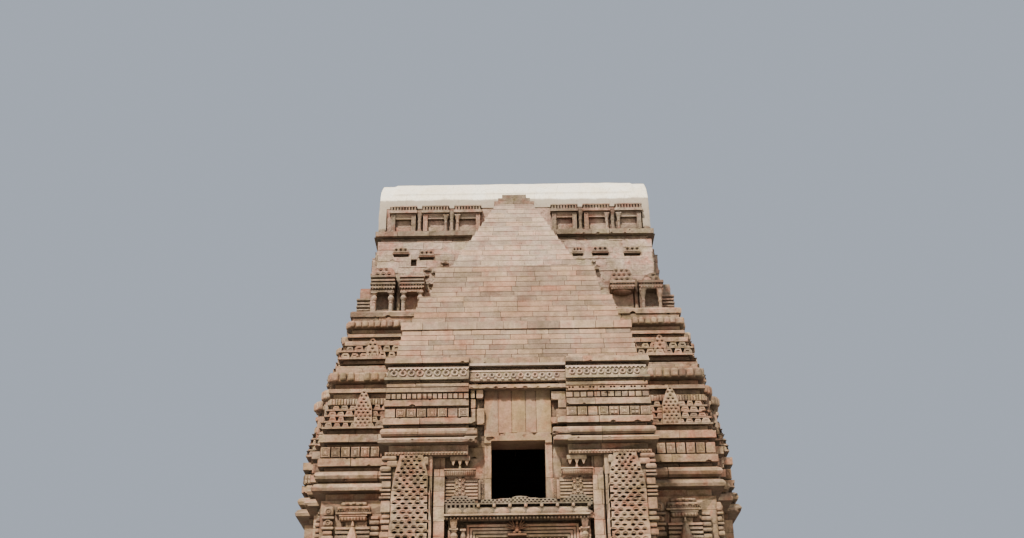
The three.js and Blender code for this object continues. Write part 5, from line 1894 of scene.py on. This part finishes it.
def crown_niche(kind):
    """One niche before a wall at y = 0.09: sill, two posts, beam and dentilled cornice."""
    width = 2 * NICHE_HALF
    parts = [
        centred(name, width + wider, front, 0.12, low, high) for name, wider, front, low, high in (
            ("sill", 0.2, -0.08, SILL, 21.46), ("parapet", 0.0, 0.0, SILL, 21.66),
            ("beam", -0.02, -0.05, 21.95, 22.08), ("slab", 0.12, -0.17, 22.14, 22.235),
            ("neck", 0.0, -0.06, 22.07, 22.15), ("recess", 0.06, -0.1, 22.23, 22.39),
            ("top_fillet", 0.1, -0.16, 22.375, 22.42))]
    parts.append(repeat("dentils", centred("dentil", 0.04, -0.15, -0.08, -0.07, 0.07), row(
        [line(-width / 2 - 0.03, 0, width / 2 + 0.03, 0)], 22.305, 0.1)))
    for side, turned in zip((-1, 1), kind):
        x = side * (NICHE_HALF - POST / 2)
        if turned:
            parts.append(flared_column(x, -0.03, 21.45, 22.09, 0.075))
        else:
            post = block("post", x - POST / 2, x + POST / 2, -0.1, 0.1, 21.45, 22.1)
            select_faces(post, in_front)
            bpy.ops.mesh.inset(thickness=0.03)
            pushed(-0.012)
            parts.append(close(post))
    return joined("crown_niche", parts)


# Which of a niche's two posts are turned, in the order of the niches.
POST_KINDS = ((False, False), (False, True), (True, False))
niche_parts = [
    repeat("niches", crown_niche(kind), niche_places[number::3])
    for number, kind in enumerate(POST_KINDS)]
between = [
    (x + NICHE_PITCH / 2, y, z, turn, size) for x, y, z, turn, size in niche_places
    if x + NICHE_PITCH / 2 < 4 and (y > 0 or abs(x + NICHE_PITCH / 2) > 1.2)]
niche_parts.append(repeat("balusters", flared_column(0, -0.01, 21.44, 22.22, 0.095), between))
dress(joined("crown_niches", niche_parts), finish=rough_sandstone)


# Gable ends of the vault: plain coursed walls set back behind the plastered arches.
for side, node in ((-1, "left_gable_wall"), (1, "right_gable_wall")):
    wall = copy_of(node + "_stones", node)
    x, half = side * 4.33, side * 1.7
    lay_in_stones(wall, [line(x, -half, x, half)], [], VAULT_BASE, 23.5,
                  [21.8, 22.06, 22.31, 22.57, 22.82, 23.1], (0.4, 0.8), 120 + side)
    dress(settle(wall, 0.006), node, finish=rough_sandstone)


# Plinth and platform: courses of moulded and squared stone round a rubble core, laid dry.
def kept_inside(piece):
    """Trims the few millimetres by which settled stones stand past the surveyed size."""
    (x0, y0, z0), (x1, y1, z1) = cad_box
    return carve(piece, block("survey", x0, x1, y0, y1, z0, z1), "INTERSECT")


FOOTPRINT = shrine + [
    (-PORTICO_X, -CORNER_Y), (-PORTICO_X, -PORTICO_Y), (PORTICO_X, -PORTICO_Y),
    (PORTICO_X, -CORNER_Y)]
PLATFORM_TOP = 1.6
SHELL_DEPTH = 0.56
PLATFORM = [(-9.15, -11.45), (9.15, -11.45), (9.15, 6.85), (-9.15, 6.85)]
# node, outline, low, high, bed joints, longest stone, finish, slot
COURSES = [
    ("plinth_footing", grown(FOOTPRINT, 0.75), PLATFORM_TOP, 2.71, (2.01, 2.48), 1.4,
     weathered_sandstone, "sandstone"),
    ("plinth_roll", grown(FOOTPRINT, 0.4), 2.71, 3.19, (), 1.4, weathered_sandstone, "sandstone"),
    ("plinth_top", grown(FOOTPRINT, 0.4), 3.19, FLOOR, (3.55,), 1.4, weathered_sandstone,
     "sandstone"),
    ("platform", PLATFORM, 0.0, PLATFORM_TOP, (0.3, 0.62, 0.94, 1.25), 1.5, grey_stone,
     "grey_stone"),
]
for number, (node, outline, low, high, beds, longest, finish, slot) in enumerate(COURSES):
    stones = copy_of(node + "_stones", node)
    gap = prism("gap", grown(outline, -SHELL_DEPTH), low - 0.1, high + 0.1)
    carve(gap, prism("core", grown(outline, -SHELL_DEPTH - JOINT), low - 0.2, high + 0.2))
    carve(stones, gap)
    lay_in_stones(stones, runs_of(outline), corners_of(outline), low, high, list(beds),
                  (0.8, longest), 130 + number)
    if node == "platform":
        draw = random.Random(14)
        cut = (high - 0.02, high + 0.05)
        rows = [-10.89 + 0.855 * k for k in range(1, 20)]
        carve(stones, joined("paving_rows", [
            block("paving_row", -8.6, 8.6, y - 0.005, y + 0.005, *cut) for y in rows]))
        paving_joint = block("paving_joint", -0.005, 0.005, -0.42, 0.42, *cut)
        carve(stones, repeat("paving_joints", paving_joint, [
            (x + draw.uniform(-0.3, 0.3), y + 0.4275, 0.0, 0.0, upright)
            for y in rows[:-1] for x in range(-8, 9)]))
    dress(kept_inside(settle(stones, 0.004)), node, finish=finish, slot=slot)


# Two flights of steps, each step a row of long blocks that bear on the one below.
# node, half width, front, rise, run, number of risers, foot
FLIGHTS = [
    ("lower_steps", 2.0, -13.251, PLATFORM_TOP / 7, 0.3, 6, 0.0),
    ("upper_steps", 1.5, -10.775, (FLOOR - PLATFORM_TOP) / 9, 0.235, 9, PLATFORM_TOP),
]
for number, (node, half, front, rise, run, count, foot) in enumerate(FLIGHTS):
    draw = random.Random(150 + number)
    flight = copy_of(node + "_stones", node)
    carve(flight, joined("step_beds", [
        block("step_bed", -3, 3, -15, -5, foot + k * rise - 0.004, foot + k * rise + 0.004)
        for k in range(1, count)]))
    carve(flight, repeat("step_joints", block("step_joint", -0.004, 0.004, -5, 5, -0.5, 0.5), [
        (x + draw.uniform(-0.2, 0.2), -10.0, foot + (k + 0.5) * rise, 0.0, (1, 1, rise - 0.01))
        for k in range(count) for x in (-half * 0.45, half * 0.45)]))
    soften(settle(flight, 0.004), 0.012, 2)
    dress(kept_inside(flight), node, finish=grey_stone, slot="grey_stone")


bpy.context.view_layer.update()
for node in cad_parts.values():
    if not node.hide_render:
        node.data.materials.clear()
        node.data.materials.append(weathered_sandstone)
